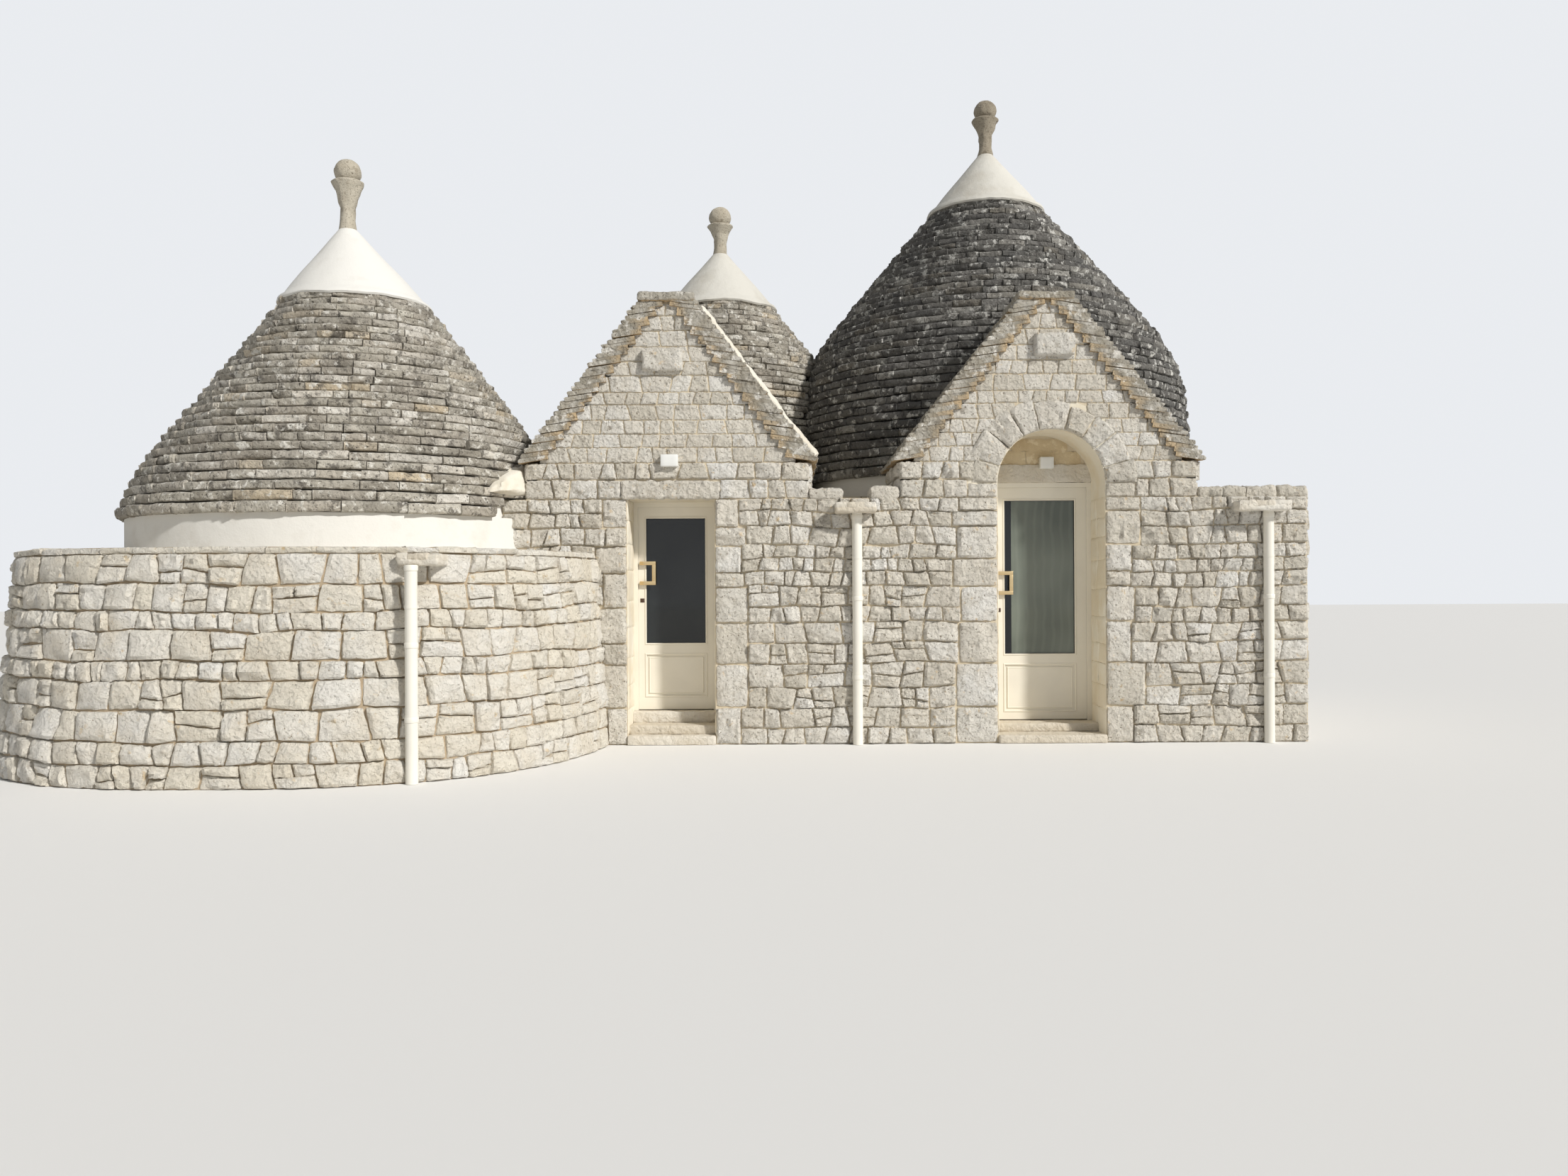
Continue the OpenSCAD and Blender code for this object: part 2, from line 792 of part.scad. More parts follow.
module door_frame(x, width, y, base_z, top_z) {
    inner_w = width - 2 * frame_w;
    inner_top = top_z - frame_w;
    leaf_y = y + stop_d + stop_gap;
    back_y = leaf_y + leaf_t - frame_step;
    pin_x = x + inner_w / 2 - leaf_gap + hinge_side;
    pin_y = leaf_y + leaf_t + hinge_back;
    along_y(x, y, back_y - y) difference() {
        translate([-width / 2, base_z]) square([width, top_z - base_z]);
        translate([-inner_w / 2, base_z - 1]) square([inner_w, inner_top - base_z + 1]);
    }
    along_y(x, y, stop_d) difference() {
        translate([-width / 2, base_z]) square([width, top_z - base_z]);
        translate([-inner_w / 2 + stop_w, base_z - 1])
            square([inner_w - 2 * stop_w, inner_top - stop_w - base_z + 1]);
    }
    for (share = hinge_share)
        translate([pin_x, pin_y, base_z + (inner_top - base_z) * share - hinge_h - barrel_gap]) {
            cylinder(r = hinge_r, h = hinge_h, $fn = 24);
            translate([leaf_gap - hinge_side, back_y - pin_y, 0])
                cube([frame_w / 2, pin_y - back_y, hinge_h]);
        }
}

// Leaf: two stiles, three rails and a raised panel below the glass.
module door_leaf(x, width, y, base_z, top_z, stile, glass_z0, glass_z1, panel_z0, panel_z1) {
    leaf_w = width - 2 * frame_w - 2 * leaf_gap;
    leaf_z0 = base_z + leaf_gap + 2;
    leaf_z1 = top_z - frame_w - leaf_gap;
    leaf_y = y + stop_d + stop_gap;
    opening_w = leaf_w - 2 * stile;
    panel_t = 24;
    field_in = 40;
    pin_x = x + leaf_w / 2 + hinge_side;
    pin_y = leaf_y + leaf_t + hinge_back;
    along_y(x, leaf_y, leaf_t) difference() {
        translate([-leaf_w / 2, leaf_z0]) square([leaf_w, leaf_z1 - leaf_z0]);
        translate([-opening_w / 2, glass_z0]) square([opening_w, glass_z1 - glass_z0]);
        translate([-opening_w / 2, panel_z0]) square([opening_w, panel_z1 - panel_z0]);
    }
    along_y(x, leaf_y + (leaf_t - panel_t) / 2, panel_t)
        translate([-opening_w / 2 - 1, panel_z0 - 1])
            square([opening_w + 2, panel_z1 - panel_z0 + 2]);
    along_y(x, leaf_y + 6, leaf_t - 12)
        translate([-opening_w / 2 + field_in, panel_z0 + field_in])
            square([opening_w - 2 * field_in, panel_z1 - panel_z0 - 2 * field_in]);
    for (share = hinge_share)
        translate([pin_x, pin_y, base_z + (top_z - frame_w - base_z) * share]) {
            cylinder(r = hinge_r, h = hinge_h, $fn = 24);
            translate([-hinge_strap, -hinge_back - 1, 0])
                cube([hinge_strap, hinge_back - hinge_side + 1, hinge_h]);
        }
}

module door_glass(x, width, y, stile, glass_z0, glass_z1) {
    opening_w = width - 2 * frame_w - 2 * leaf_gap - 2 * stile;
    leaf_y = y + stop_d + stop_gap;
    glass_t = 20;
    along_y(x, leaf_y + (leaf_t - glass_t) / 2, glass_t)
        translate([-opening_w / 2, glass_z0]) square([opening_w, glass_z1 - glass_z0]);
}

// Square pull outside and a lever inside, both on the stile away from the hinges.
module door_handle(x, width, y, stile, pull_z) {
    leaf_w = width - 2 * frame_w - 2 * leaf_gap;
    leaf_y = y + stop_d + stop_gap;
    bar = 16;
    stand = 45;
    post_x = x - leaf_w / 2 + stile / 2;
    lever_z = pull_z - pull_h / 2 - 110;
    lever_l = 110;
    for (z = [pull_z - pull_h / 2, pull_z + pull_h / 2])
        translate([post_x, leaf_y, z]) {
            rotate([90, 0, 0]) cylinder(r = 14, h = 8);
            translate([-bar / 2, -stand, -bar / 2]) cube([bar, stand, bar]);
            translate([-bar / 2, -stand, -bar / 2]) cube([pull_w, bar, bar]);
        }
    translate([post_x + pull_w - 1.5 * bar, leaf_y - stand, pull_z - pull_h / 2 - bar / 2])
        cube([bar, bar, pull_h + bar]);
    translate([post_x, leaf_y + leaf_t + 8, lever_z]) {
        rotate([90, 0, 0]) cylinder(r = 24, h = 8);
        translate([-7, 0, -7]) cube([14, 34, 14]);
        translate([-7, 20, -7]) cube([lever_l, 14, 14]);
    }
    translate([post_x, leaf_y, lever_z - 60]) rotate([90, 0, 0]) cylinder(r = 16, h = 5);
}

// The two doors: frame face, panes and panels at their measured heights.
ldoor_y = front_y + lrecess;
rdoor_y = front_y + rrecess;
lstile = 75;
rstile = 115;
lglass = [973, 2290];
lpanel = [430, 878];
rglass = [840, 2460];
rpanel = [250, 750];
lpull_z = 1710;
rpull_z = 1590;
pull_w = 160;
pull_h = 215;

module door_frames() {
    color(painted) {
        door_frame(ldoor_x, ldoor_w, ldoor_y, lfloor, wall_h);
        door_frame(rdoor_x, rdoor_w, rdoor_y, rfloor, rdoor_top);
    }
}

module left_door_leaf() {
    color(painted) door_leaf(ldoor_x, ldoor_w, ldoor_y, lfloor, wall_h, lstile,
                             lglass[0], lglass[1], lpanel[0], lpanel[1]);
}

module left_door_glass() {
    color("#9fb4bc") door_glass(ldoor_x, ldoor_w, ldoor_y, lstile, lglass[0], lglass[1]);
}

module left_door_handle() {
    color("#c9ccd0") door_handle(ldoor_x, ldoor_w, ldoor_y, lstile, lpull_z);
}

module right_door_leaf() {
    color(painted) door_leaf(rdoor_x, rdoor_w, rdoor_y, rfloor, rdoor_top, rstile,
                             rglass[0], rglass[1], rpanel[0], rpanel[1]);
}

module right_door_glass() {
    color("#9fb4bc") door_glass(rdoor_x, rdoor_w, rdoor_y, rstile, rglass[0], rglass[1]);
}

module right_door_handle() {
    color("#c9ccd0") door_handle(rdoor_x, rdoor_w, rdoor_y, rstile, rpull_z);
}

// Box lamps: one over the left lintel, one over the right door inside the arch.
lamp_w = [170, 140];
lamp_h = 120;
lamp_d = 95;
lamp_x = [ldoor_x - 8, rdoor_x + 60];
lamp_y = [front_y, rdoor_y];
lamp_z = [gable_eaves_z - 45, gable_eaves_z - 30];
module lamps() {
    color("white")
        for (i = [0, 1])
            zone(lamp_x[i] - lamp_w[i] / 2, lamp_y[i] - lamp_d, lamp_x[i] + lamp_w[i] / 2,
                 lamp_y[i], lamp_z[i], lamp_z[i] + lamp_h);
}

// Hollowed slabs that lead the roof water into the pipes.
spout_lip = 60;
trough_share = 0.4;
module spout(i, face_y, top) {
    trough_w = spout_w * trough_share;
    x = spout_x[i];
    difference() {
        zone(x - spout_width[i] / 2, face_y - spout_out, x + spout_width[i] / 2,
             face_y + spout_in, top - spout_drop - spout_t, top - spout_drop);
        zone(x - trough_w / 2, face_y - spout_out + spout_lip, x + trough_w / 2, face_y - 1,
             top - spout_drop - spout_t / 2, top);
    }
}

module spouts() {
    color(limestone) {
        spout(0, low_wall_face(spout_x[0], low_wall_h), low_wall_h);
        spout(1, front_y, wall_h);
        spout(2, front_y, wall_h);
    }
}

// Downpipe with two clips that hold it to the wall, whose face may lean back.
pipe_off = 20;
clip_share = [0.3, 0.8];
clip_h = 24;
clip_w = 20;
clip_t = 3;
clip_clear = 1;
module downpipe(x, foot_y, clip_ends, top) {
    pipe_y = foot_y - pipe_r - pipe_off;
    translate([x, pipe_y, 0]) cylinder(r = pipe_r, h = top);
    for (i = [0, 1])
        translate([x, pipe_y, top * clip_share[i]]) {
            cylinder(r = pipe_r + clip_t, h = clip_h);
            translate([-clip_w / 2, 0, 0]) cube([clip_w, clip_ends[i] - pipe_y, clip_h]);
        }
}

module downpipes() {
    color(painted) {
        low_top = low_wall_h - spout_drop - spout_t;
        top = wall_h - spout_drop - spout_t;
        downpipe(pipe_left_x, low_wall_front(pipe_left_x),
                 [for (share = clip_share) low_wall_face(pipe_left_x, low_top * share) - clip_clear],
                 low_top);
        downpipe(pipe_mid_x, front_y, [front_y, front_y], top);
        downpipe(pipe_right_x, front_y, [front_y, front_y], top);
    }
}

left_wall_front();
left_wall_corner();
left_wall_side();
left_wall_back();
left_wall_flank();
left_dome();
left_roof_slabs();
left_cap();
left_finial();
middle_wall_left();
middle_wall_right();
middle_wall_back();
middle_dome();
middle_roof_slabs();
middle_cap();
middle_finial();
right_wall_side();
right_wall_back();
right_dome();
right_roof_slabs();
right_cap();
right_finial();
front_wall_left();
front_wall_middle();
front_wall_right();
parapet();
terrace();
floors();
left_gable_wall();
left_gable_roof();
left_door_lintel();
right_gable_wall();
right_gable_roof();
right_arch();
right_door_lintel();
gable_stones();
doorsteps();
door_frames();
left_door_leaf();
left_door_glass();
left_door_handle();
right_door_leaf();
right_door_glass();
right_door_handle();
lamps();
spouts();
downpipes();
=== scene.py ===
"""Looks of the trullo house: single stones, roof slabs, lime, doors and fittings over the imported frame."""
import math
import zlib

import bpy
import numpy as np
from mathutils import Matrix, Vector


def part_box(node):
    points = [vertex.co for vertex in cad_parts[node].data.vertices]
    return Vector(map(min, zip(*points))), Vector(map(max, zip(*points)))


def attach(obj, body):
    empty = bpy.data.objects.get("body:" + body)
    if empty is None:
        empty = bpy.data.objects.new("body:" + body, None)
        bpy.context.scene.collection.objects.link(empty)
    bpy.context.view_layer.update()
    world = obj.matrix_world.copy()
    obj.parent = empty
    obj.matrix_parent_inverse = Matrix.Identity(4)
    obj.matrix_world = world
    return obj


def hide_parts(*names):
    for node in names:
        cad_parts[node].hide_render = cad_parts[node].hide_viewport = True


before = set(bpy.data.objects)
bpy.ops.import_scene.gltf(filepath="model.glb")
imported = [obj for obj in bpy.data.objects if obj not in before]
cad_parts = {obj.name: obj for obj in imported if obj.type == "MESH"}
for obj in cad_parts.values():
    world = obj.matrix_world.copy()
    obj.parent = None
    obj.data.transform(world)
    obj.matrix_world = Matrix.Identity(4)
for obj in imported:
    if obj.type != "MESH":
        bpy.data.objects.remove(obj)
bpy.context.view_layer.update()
scene = bpy.context.scene

# Photograph's frame and the camera that took it
PHOTO_W = 2212
FOCAL_PX = 1661
CAMERA_AT = (0.75, -13.5, 1.55)
CAMERA_ROLL = math.radians(0.3)


def box_size(node):
    lowest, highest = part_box(node)
    return highest - lowest


def middle(node):
    lowest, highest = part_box(node)
    return (lowest + highest) / 2


# Levels and planes of the walls, from the frame
FRONT_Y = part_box("front_wall_middle")[0].y
WALL_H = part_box("front_wall_middle")[1].z
FRONT_X0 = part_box("front_wall_left")[0].x
FRONT_X1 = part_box("front_wall_right")[1].x
FRONT_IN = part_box("front_wall_left")[1].y
LDOOR_X0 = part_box("front_wall_left")[1].x
LDOOR_X1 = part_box("front_wall_middle")[0].x
RDOOR_X0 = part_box("front_wall_middle")[1].x
RDOOR_X1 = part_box("front_wall_right")[0].x
BLOCK_X0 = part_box("middle_wall_left")[0].x
TERRACE_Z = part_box("terrace")[1].z
LOW_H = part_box("left_wall_side")[1].z
GABLE_EAVES_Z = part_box("left_gable_roof")[0].z
RIDGE_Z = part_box("left_gable_roof")[1].z


def rng_for(name):
    """A random source of its own for each piece, the same on each run."""
    return np.random.default_rng(zlib.crc32(name.encode()))


def solids(node):
    """Lowest and highest corners of each separate solid of a node, from left to right."""
    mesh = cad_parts[node].data
    points = np.empty(len(mesh.vertices) * 3)
    mesh.vertices.foreach_get("co", points)
    points = points.reshape(-1, 3)
    edges = np.empty(len(mesh.edges) * 2, np.int32)
    mesh.edges.foreach_get("vertices", edges)
    same = np.unique(np.round(points, 4), axis=0, return_inverse=True)[1].ravel()
    edges = same[edges.reshape(-1, 2)]
    label = np.arange(same.max() + 1)
    while True:
        lowest = np.minimum(label[edges[:, 0]], label[edges[:, 1]])
        spread = label.copy()
        np.minimum.at(spread, edges[:, 0], lowest)
        np.minimum.at(spread, edges[:, 1], lowest)
        if (spread == label).all():
            break
        label = spread
    groups = [points[label[same] == k] for k in np.unique(label)]
    return sorted([(g.min(axis=0), g.max(axis=0)) for g in groups], key=lambda b: (b[0][0], b[0][2]))


# Mesh making: a form is a set of points, their faces and a tone for each point

def add_piece(name, form, material, slot, replaces=(), body="house", sharp=38):
    """Makes one mesh piece of a form, with nothing under the ground. The stone materials read its tone."""
    points, faces, tone = form
    points = np.array(points, float)
    points[:, 2] = np.maximum(points[:, 2], 0)
    mesh = bpy.data.meshes.new(name)
    mesh.from_pydata(points.tolist(), [], np.asarray(faces).tolist())
    mesh.materials.append(material)
    mesh.attributes.new("tone", "FLOAT", "POINT").data.foreach_set("value", np.asarray(tone, np.float32))
    mesh.polygons.foreach_set("use_smooth", np.ones(len(mesh.polygons), bool))
    mesh.set_sharp_from_angle(angle=math.radians(sharp))
    mesh.update()
    piece = bpy.data.objects.new(name, mesh)
    scene.collection.objects.link(piece)
    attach(piece, body)
    if replaces:
        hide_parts(*replaces)


def joined(forms):
    """Joins several forms into one, in the order in which they are made."""
    points, faces, tone = zip(*(form for form in forms if len(form[0])))
    starts = np.cumsum([0] + [len(p) for p in points])
    faces = [f + start for f, start in zip(faces, starts)]
    return np.concatenate(points), np.concatenate(faces), np.concatenate(tone)


def lattice_noise(p, seed=0):
    """Smooth noise in 0..1 at points p (..., 3), one lattice cell to a unit."""
    p = np.asarray(p, float)
    cell = np.floor(p).astype(np.int64)
    f = p - cell
    f = f * f * (3 - 2 * f)
    total = np.zeros(p.shape[:-1])
    for corner in range(8):
        d = np.array([corner & 1, corner >> 1 & 1, corner >> 2 & 1])
        h = (cell + d) @ np.array([73856093, 19349663, 83492791]) + seed * 2654435761
        h = (h ^ (h >> 13)) * 1274126177
        h = ((h ^ (h >> 16)) & 0xFFFF) / 65535
        total += h * np.prod(np.where(d, f, 1 - f), axis=-1)
    return total


def swell(p, size, seed=0):
    """Two octaves of noise about 0, with lumps of the given size in metres."""
    p = np.asarray(p) / size
    return (lattice_noise(p, seed) - 0.5) * 1.3 + (lattice_noise(p * 2.3, seed + 7) - 0.5) * 0.7


def hewn(p, size, seed=0):
    """Ridged noise about 0, like a face dressed with a pick: hollows between sharp crests."""
    total = 0
    for k, (scale, share) in enumerate(((1, 0.55), (2.2, 0.3), (4.7, 0.15))):
        lumps = lattice_noise(np.asarray(p) * scale / size, seed + 11 * k)
        total = total + (1 - 4 * np.abs(lumps - 0.5)) * share
    return total


def grid_quads(rows_n, cols_n, wrap=False):
    """Quads of a grid of points, row after row; wrap joins the last column to the first."""
    index = np.arange(rows_n * cols_n).reshape(rows_n, cols_n)
    if wrap:
        index = np.concatenate([index, index[:, :1]], axis=1)
    return np.stack([index[:-1, :-1], index[:-1, 1:], index[1:, 1:], index[1:, :-1]], -1).reshape(-1, 4)


def rough_box(low, high, rng, cell, edge, rough, lump=0.09):
    """A stone block with worn edges and an uneven face, between two corners."""
    low = np.array(low, float)
    size = np.array(high, float) - low
    edge = min(edge, 0.3 * size.min())
    lines = []
    for k in range(3):
        count = max(1, round((size[k] - 2 * edge) / cell))
        lines.append(np.concatenate([[0], np.linspace(edge, size[k] - edge, count + 1), [size[k]]]))
    points, faces, start = [], [], 0
    for k in range(3):
        a, b = (k + 1) % 3, (k + 2) % 3
        v, u = np.meshgrid(lines[b], lines[a], indexing="ij")
        quads = grid_quads(*u.shape)
        for side in (0, 1):
            p = np.zeros(u.shape + (3,))
            p[..., a], p[..., b], p[..., k] = u, v, size[k] * side
            faces.append((quads if side else quads[:, ::-1]) + start)
            points.append(p.reshape(-1, 3))
            start += u.size
    points, index = np.unique(np.round(np.concatenate(points), 6), axis=0, return_inverse=True)
    faces = index.ravel()[np.concatenate(faces)]
    core = np.clip(points, edge, size - edge)
    normal = points - core
    normal /= np.maximum(np.linalg.norm(normal, axis=1, keepdims=True), 1e-9)
    world = low + core + normal * edge
    bumps = hewn(world, lump, int(rng.integers(1 << 20))) * rough + rng.normal(0, rough * 0.15, len(world))
    return world + normal * bumps[:, None], faces, np.full(len(world), rng.random())


def lathe(at, radius, height, rng, rough=0.0, lump=0.08):
    """Turned form at (x, y) from tables of radius and height, with a row to each ring."""
    rows_n, cols_n = radius.shape
    angle = np.linspace(0, 2 * math.pi, cols_n, endpoint=False)
    out = np.stack([np.cos(angle), np.sin(angle), np.zeros(cols_n)], -1)
    points = radius[..., None] * out + np.array([*at, 0])
    points[..., 2] = height
    bumps = swell(points, lump, int(rng.integers(1 << 20))) * rough
    points = (points + out * bumps[..., None]).reshape(-1, 3)
    return points, grid_quads(rows_n, cols_n, wrap=True), np.full(len(points), 0.5)


def turned(at, rings, count, rng, rough=0.0, lump=0.08):
    """Round turned form at (x, y) from (radius, height) rings of count points."""
    radius, height = (np.tile(column, (1, count)) for column in np.hsplit(np.array(rings), 2))
    return lathe(at, radius, height, rng, rough, lump)


def bead(path, radius, sides, rng, rough, flat):
    """A bead along a path of points, flattened across its upper side."""
    tangent = np.gradient(path, axis=0)
    tangent /= np.linalg.norm(tangent, axis=1, keepdims=True)
    side = np.cross(tangent, [0, 0, 1.0])
    side /= np.maximum(np.linalg.norm(side, axis=1, keepdims=True), 1e-6)
    top = np.cross(side, tangent) * flat
    angle = np.linspace(0, 2 * math.pi, sides, endpoint=False)
    ring = np.cos(angle)[None, :, None] * side[:, None] + np.sin(angle)[None, :, None] * top[:, None]
    points = path[:, None] + ring * radius.reshape(-1, 1, 1)
    bumps = swell(points, 0.09, 5) * rough + rng.normal(0, rough * 0.2, ring.shape[:2])
    points = (points + ring * bumps[..., None]).reshape(-1, 3)
    return points, grid_quads(len(path), sides, wrap=True)[:, ::-1], np.full(len(points), 0.5)


def picture_frame(x0, x1, z0, z1, y, profile):
    """Mitred moulding round an upright rectangle; profile gives (inward, towards the viewer) pairs."""
    corners = ((x0, z0, 1, 1), (x1, z0, -1, 1), (x1, z1, -1, -1), (x0, z1, 1, -1))
    points = np.array([(x + sx * i, y - o, z + sz * i) for x, z, sx, sz in corners for i, o in profile])
    n = len(profile)
    faces = np.array([(c * n + k, (c + 1) % 4 * n + k, (c + 1) % 4 * n + k + 1, c * n + k + 1)
                      for c in range(4) for k in range(n - 1)])
    return points, faces, np.full(len(points), 0.5)


# Rubble: rows of stones on a surface

FINE_GRID = np.array([-1, -0.95, -0.8, -0.6, -0.4, -0.2, 0, 0.2, 0.4, 0.6, 0.8, 0.95, 1])
STONE_GRID = np.array([-1, -0.93, -0.7, -0.35, 0, 0.35, 0.7, 0.93, 1])
COARSE_GRID = np.array([-1, -0.88, -0.4, 0.4, 0.88, 1])
# Size of the hollows dressed into a face, and how far apart two stones lie in the noise
DRESSING = 0.085
APART = 3.7
# Stones: width against the row's height, least and most width, and the share split in two in higher rows
RUBBLE = {"ratio": (0.65, 1.8), "width": (0.1, 0.38), "split": 0.4, "split_over": 0.19}
SQUARED = {"ratio": (1.0, 2.2), "width": (0.14, 0.4), "split": 0.06, "split_over": 0.22}
JAMB = {"ratio": (0.8, 1.8), "width": (0.2, 0.5), "split": 0, "split_over": 1}


def pack_row(x0, x1, z0, z1, rng, shape, ends):
    """Cuts one stretch of a row into stones, as corner sets bl, br, tr, tl of (u, v)."""
    height = z1 - z0
    edges = [x0]
    while edges[-1] < x1:
        width = np.clip(height * rng.uniform(*shape["ratio"]), *shape["width"])
        if len(edges) == 1 or edges[-1] + 1.6 * width > x1:
            width = max(width, rng.uniform(*ends))
        edges.append(edges[-1] + width)
    edges = np.array(edges)
    edges = x0 + (edges - x0) * (x1 - x0) / (edges[-1] - x0)
    lean = rng.uniform(-0.15, 0.15, len(edges)) * height
    lean[[0, -1]] = 0
    cells = []
    for i in range(len(edges) - 1):
        bl, br = edges[i] - lean[i], edges[i + 1] - lean[i + 1]
        tl, tr = edges[i] + lean[i], edges[i + 1] + lean[i + 1]
        share = rng.uniform(0.36, 0.64)
        tilt = rng.uniform(-0.08, 0.08)
        inside = 0 < i < len(edges) - 2 or rng.random() < 0.25
        if not (height > shape["split_over"] and inside and rng.random() < shape["split"]):
            cells.append(((bl, z0), (br, z0), (tr, z1), (tl, z1)))
            continue
        a, b = share + tilt, share - tilt
        left = (bl + (tl - bl) * a, z0 + height * a)
        right = (br + (tr - br) * b, z0 + height * b)
        cells.append(((bl, z0), (br, z0), right, left))
        if (br - bl) > 1.5 * height and rng.random() < 0.7:
            m = rng.uniform(0.38, 0.62)
            mid_low = tuple(np.array(left) * (1 - m) + np.array(right) * m)
            mid_top = (tl + (tr - tl) * m, z1)
            cells.append((left, mid_low, mid_top, (tl, z1)))
            cells.append((mid_low, right, (tr, z1), mid_top))
        else:
            cells.append((left, right, (tr, z1), (tl, z1)))
    return cells


def rubble_cells(levels, spans, rng, shape, ends, wave=0.022):
    """Rows of stones between the levels; spans(z) gives the stretches that are wall at that height."""
    cells = []
    for z0, z1 in zip(levels[:-1], levels[1:]):
        for x0, x1 in spans((z0 + z1) / 2):
            if x1 - x0 > 0.05:
                cells += pack_row(x0, x1, z0, z1, rng, shape, ends)
    cells = np.array(cells)
    inner = (cells[..., 1] > levels[0] + 0.01) & (cells[..., 1] < levels[-1] - 0.01)
    flat = np.stack([cells[..., 0] * 0.9, cells[..., 1] * 1.3, np.zeros(cells.shape[:2])], -1)
    shift = swell(flat, 0.6, 3) * wave + swell(flat, 0.16, 4) * wave * 0.5
    cells[..., 1] += np.where(inner, shift, 0)
    return cells


def rows(z0, z1, rng, low_h=0.15, high_h=0.3):
    """Heights of the row lines between two levels."""
    heights = []
    while sum(heights) < z1 - z0:
        heights.append(rng.uniform(low_h, high_h))
    heights = np.array(heights) * (z1 - z0) / sum(heights)
    return np.concatenate([[z0], z0 + np.cumsum(heights)])


def stones(cells, place, rng, joint=0.003, proud=(0.012, 0.03), rough=0.012, grid=FINE_GRID,
           round_off=0.16, facets=0.45, sink=0.012):
    """Lays a rough stone with hewn facets in each cell. place(u, v, h) gives points in space."""
    n, g = len(cells), len(grid)
    centre = cells.mean(axis=1, keepdims=True)
    size = cells.max(axis=1) - cells.min(axis=1)
    shrink = 1 - np.minimum(2 * joint / size, 0.5)
    corners = centre + (cells - centre) * shrink[:, None, :]
    a, b = np.meshgrid(grid, grid, indexing="xy")
    pull = round_off * rng.uniform(0.3, 1.5, (n, 1, 1))
    aspect = np.clip(size.min(axis=1) / size.max(axis=1), 0.4, 1)[:, None, None]
    aa = a * np.sqrt(1 - pull * aspect * b * b / 2 * (np.abs(a) > 0.8))
    bb = b * np.sqrt(1 - pull * aspect * a * a / 2 * (np.abs(b) > 0.8))
    s, t = ((aa + 1) / 2)[..., None], ((bb + 1) / 2)[..., None]
    bl, br, tr, tl = (corners[:, k, None, None, :] for k in range(4))
    uv = bl * (1 - s) * (1 - t) + br * s * (1 - t) + tr * s * t + tl * (1 - s) * t
    reach = np.maximum(np.abs(a), np.abs(b))
    edge = reach > 0.99
    shoulder = (reach > 0.87) & ~edge
    uv = uv + rng.normal(0, 0.003, uv.shape) * (edge | shoulder)[None, ..., None]
    slopes = rng.normal(0, facets, (n, 1, 1, 3, 2))
    levels = rng.uniform(0.0, 0.55, (n, 1, 1, 3))
    planes = levels + slopes[..., 0] * a[None, ..., None] + slopes[..., 1] * b[None, ..., None]
    face = np.clip(planes.min(axis=-1) + 1, 0.25, 1.5)
    height = rng.uniform(*proud, (n, 1, 1)) * face
    height = np.where(shoulder, height * 0.72, height)
    of_its_own = (np.arange(n) * APART)[:, None, None]
    spot = np.stack([uv[..., 0], uv[..., 1], np.broadcast_to(of_its_own, (n, g, g))], -1)
    height = height + hewn(spot, DRESSING, 21) * rough * np.where(reach < 0.87, 1, 0.5)
    height = height + rng.normal(0, rough * 0.12, (n, g, g))
    height = np.where(edge, -sink, np.maximum(height, 0.002))
    points = place(uv[..., 0], uv[..., 1], height).reshape(-1, 3)
    faces = (grid_quads(g, g)[None] + (np.arange(n) * g * g)[:, None, None]).reshape(-1, 4)
    return points, faces, np.repeat(rng.random(n), g * g)


def on_plane(x, y, along_x, along_y):
    """A place function for a flat wall that starts at (x, y) and faces to the right of its run."""
    origin, along, normal = np.array([[x, y, 0], [along_x, along_y, 0], [along_y, -along_x, 0]], float)

    def place(u, v, h):
        spot = origin + u[..., None] * along + h[..., None] * normal
        spot[..., 2] = v
        return spot
    return place


FRONT_PLANE = on_plane(0, FRONT_Y, 1, 0)


# Slabs: rough flat stones with chipped fronts. Back, then the front from its foot to its top, then back.

SLAB_BACK = np.array([-1, -0.12, -0.02, 0, 0, -0.03, -0.16, -1])
SLAB_RISE = np.array([0, 0, 0.12, 0.38, 0.66, 0.9, 1, 1])
SLAB_COLUMNS = np.array([-1, -0.96, -0.66, -0.33, 0, 0.33, 0.66, 0.96, 1])
# Metres for a depth of 1 in the front's profile; the first and last points are as deep as the slab
PROFILE_DEPTH = 0.12


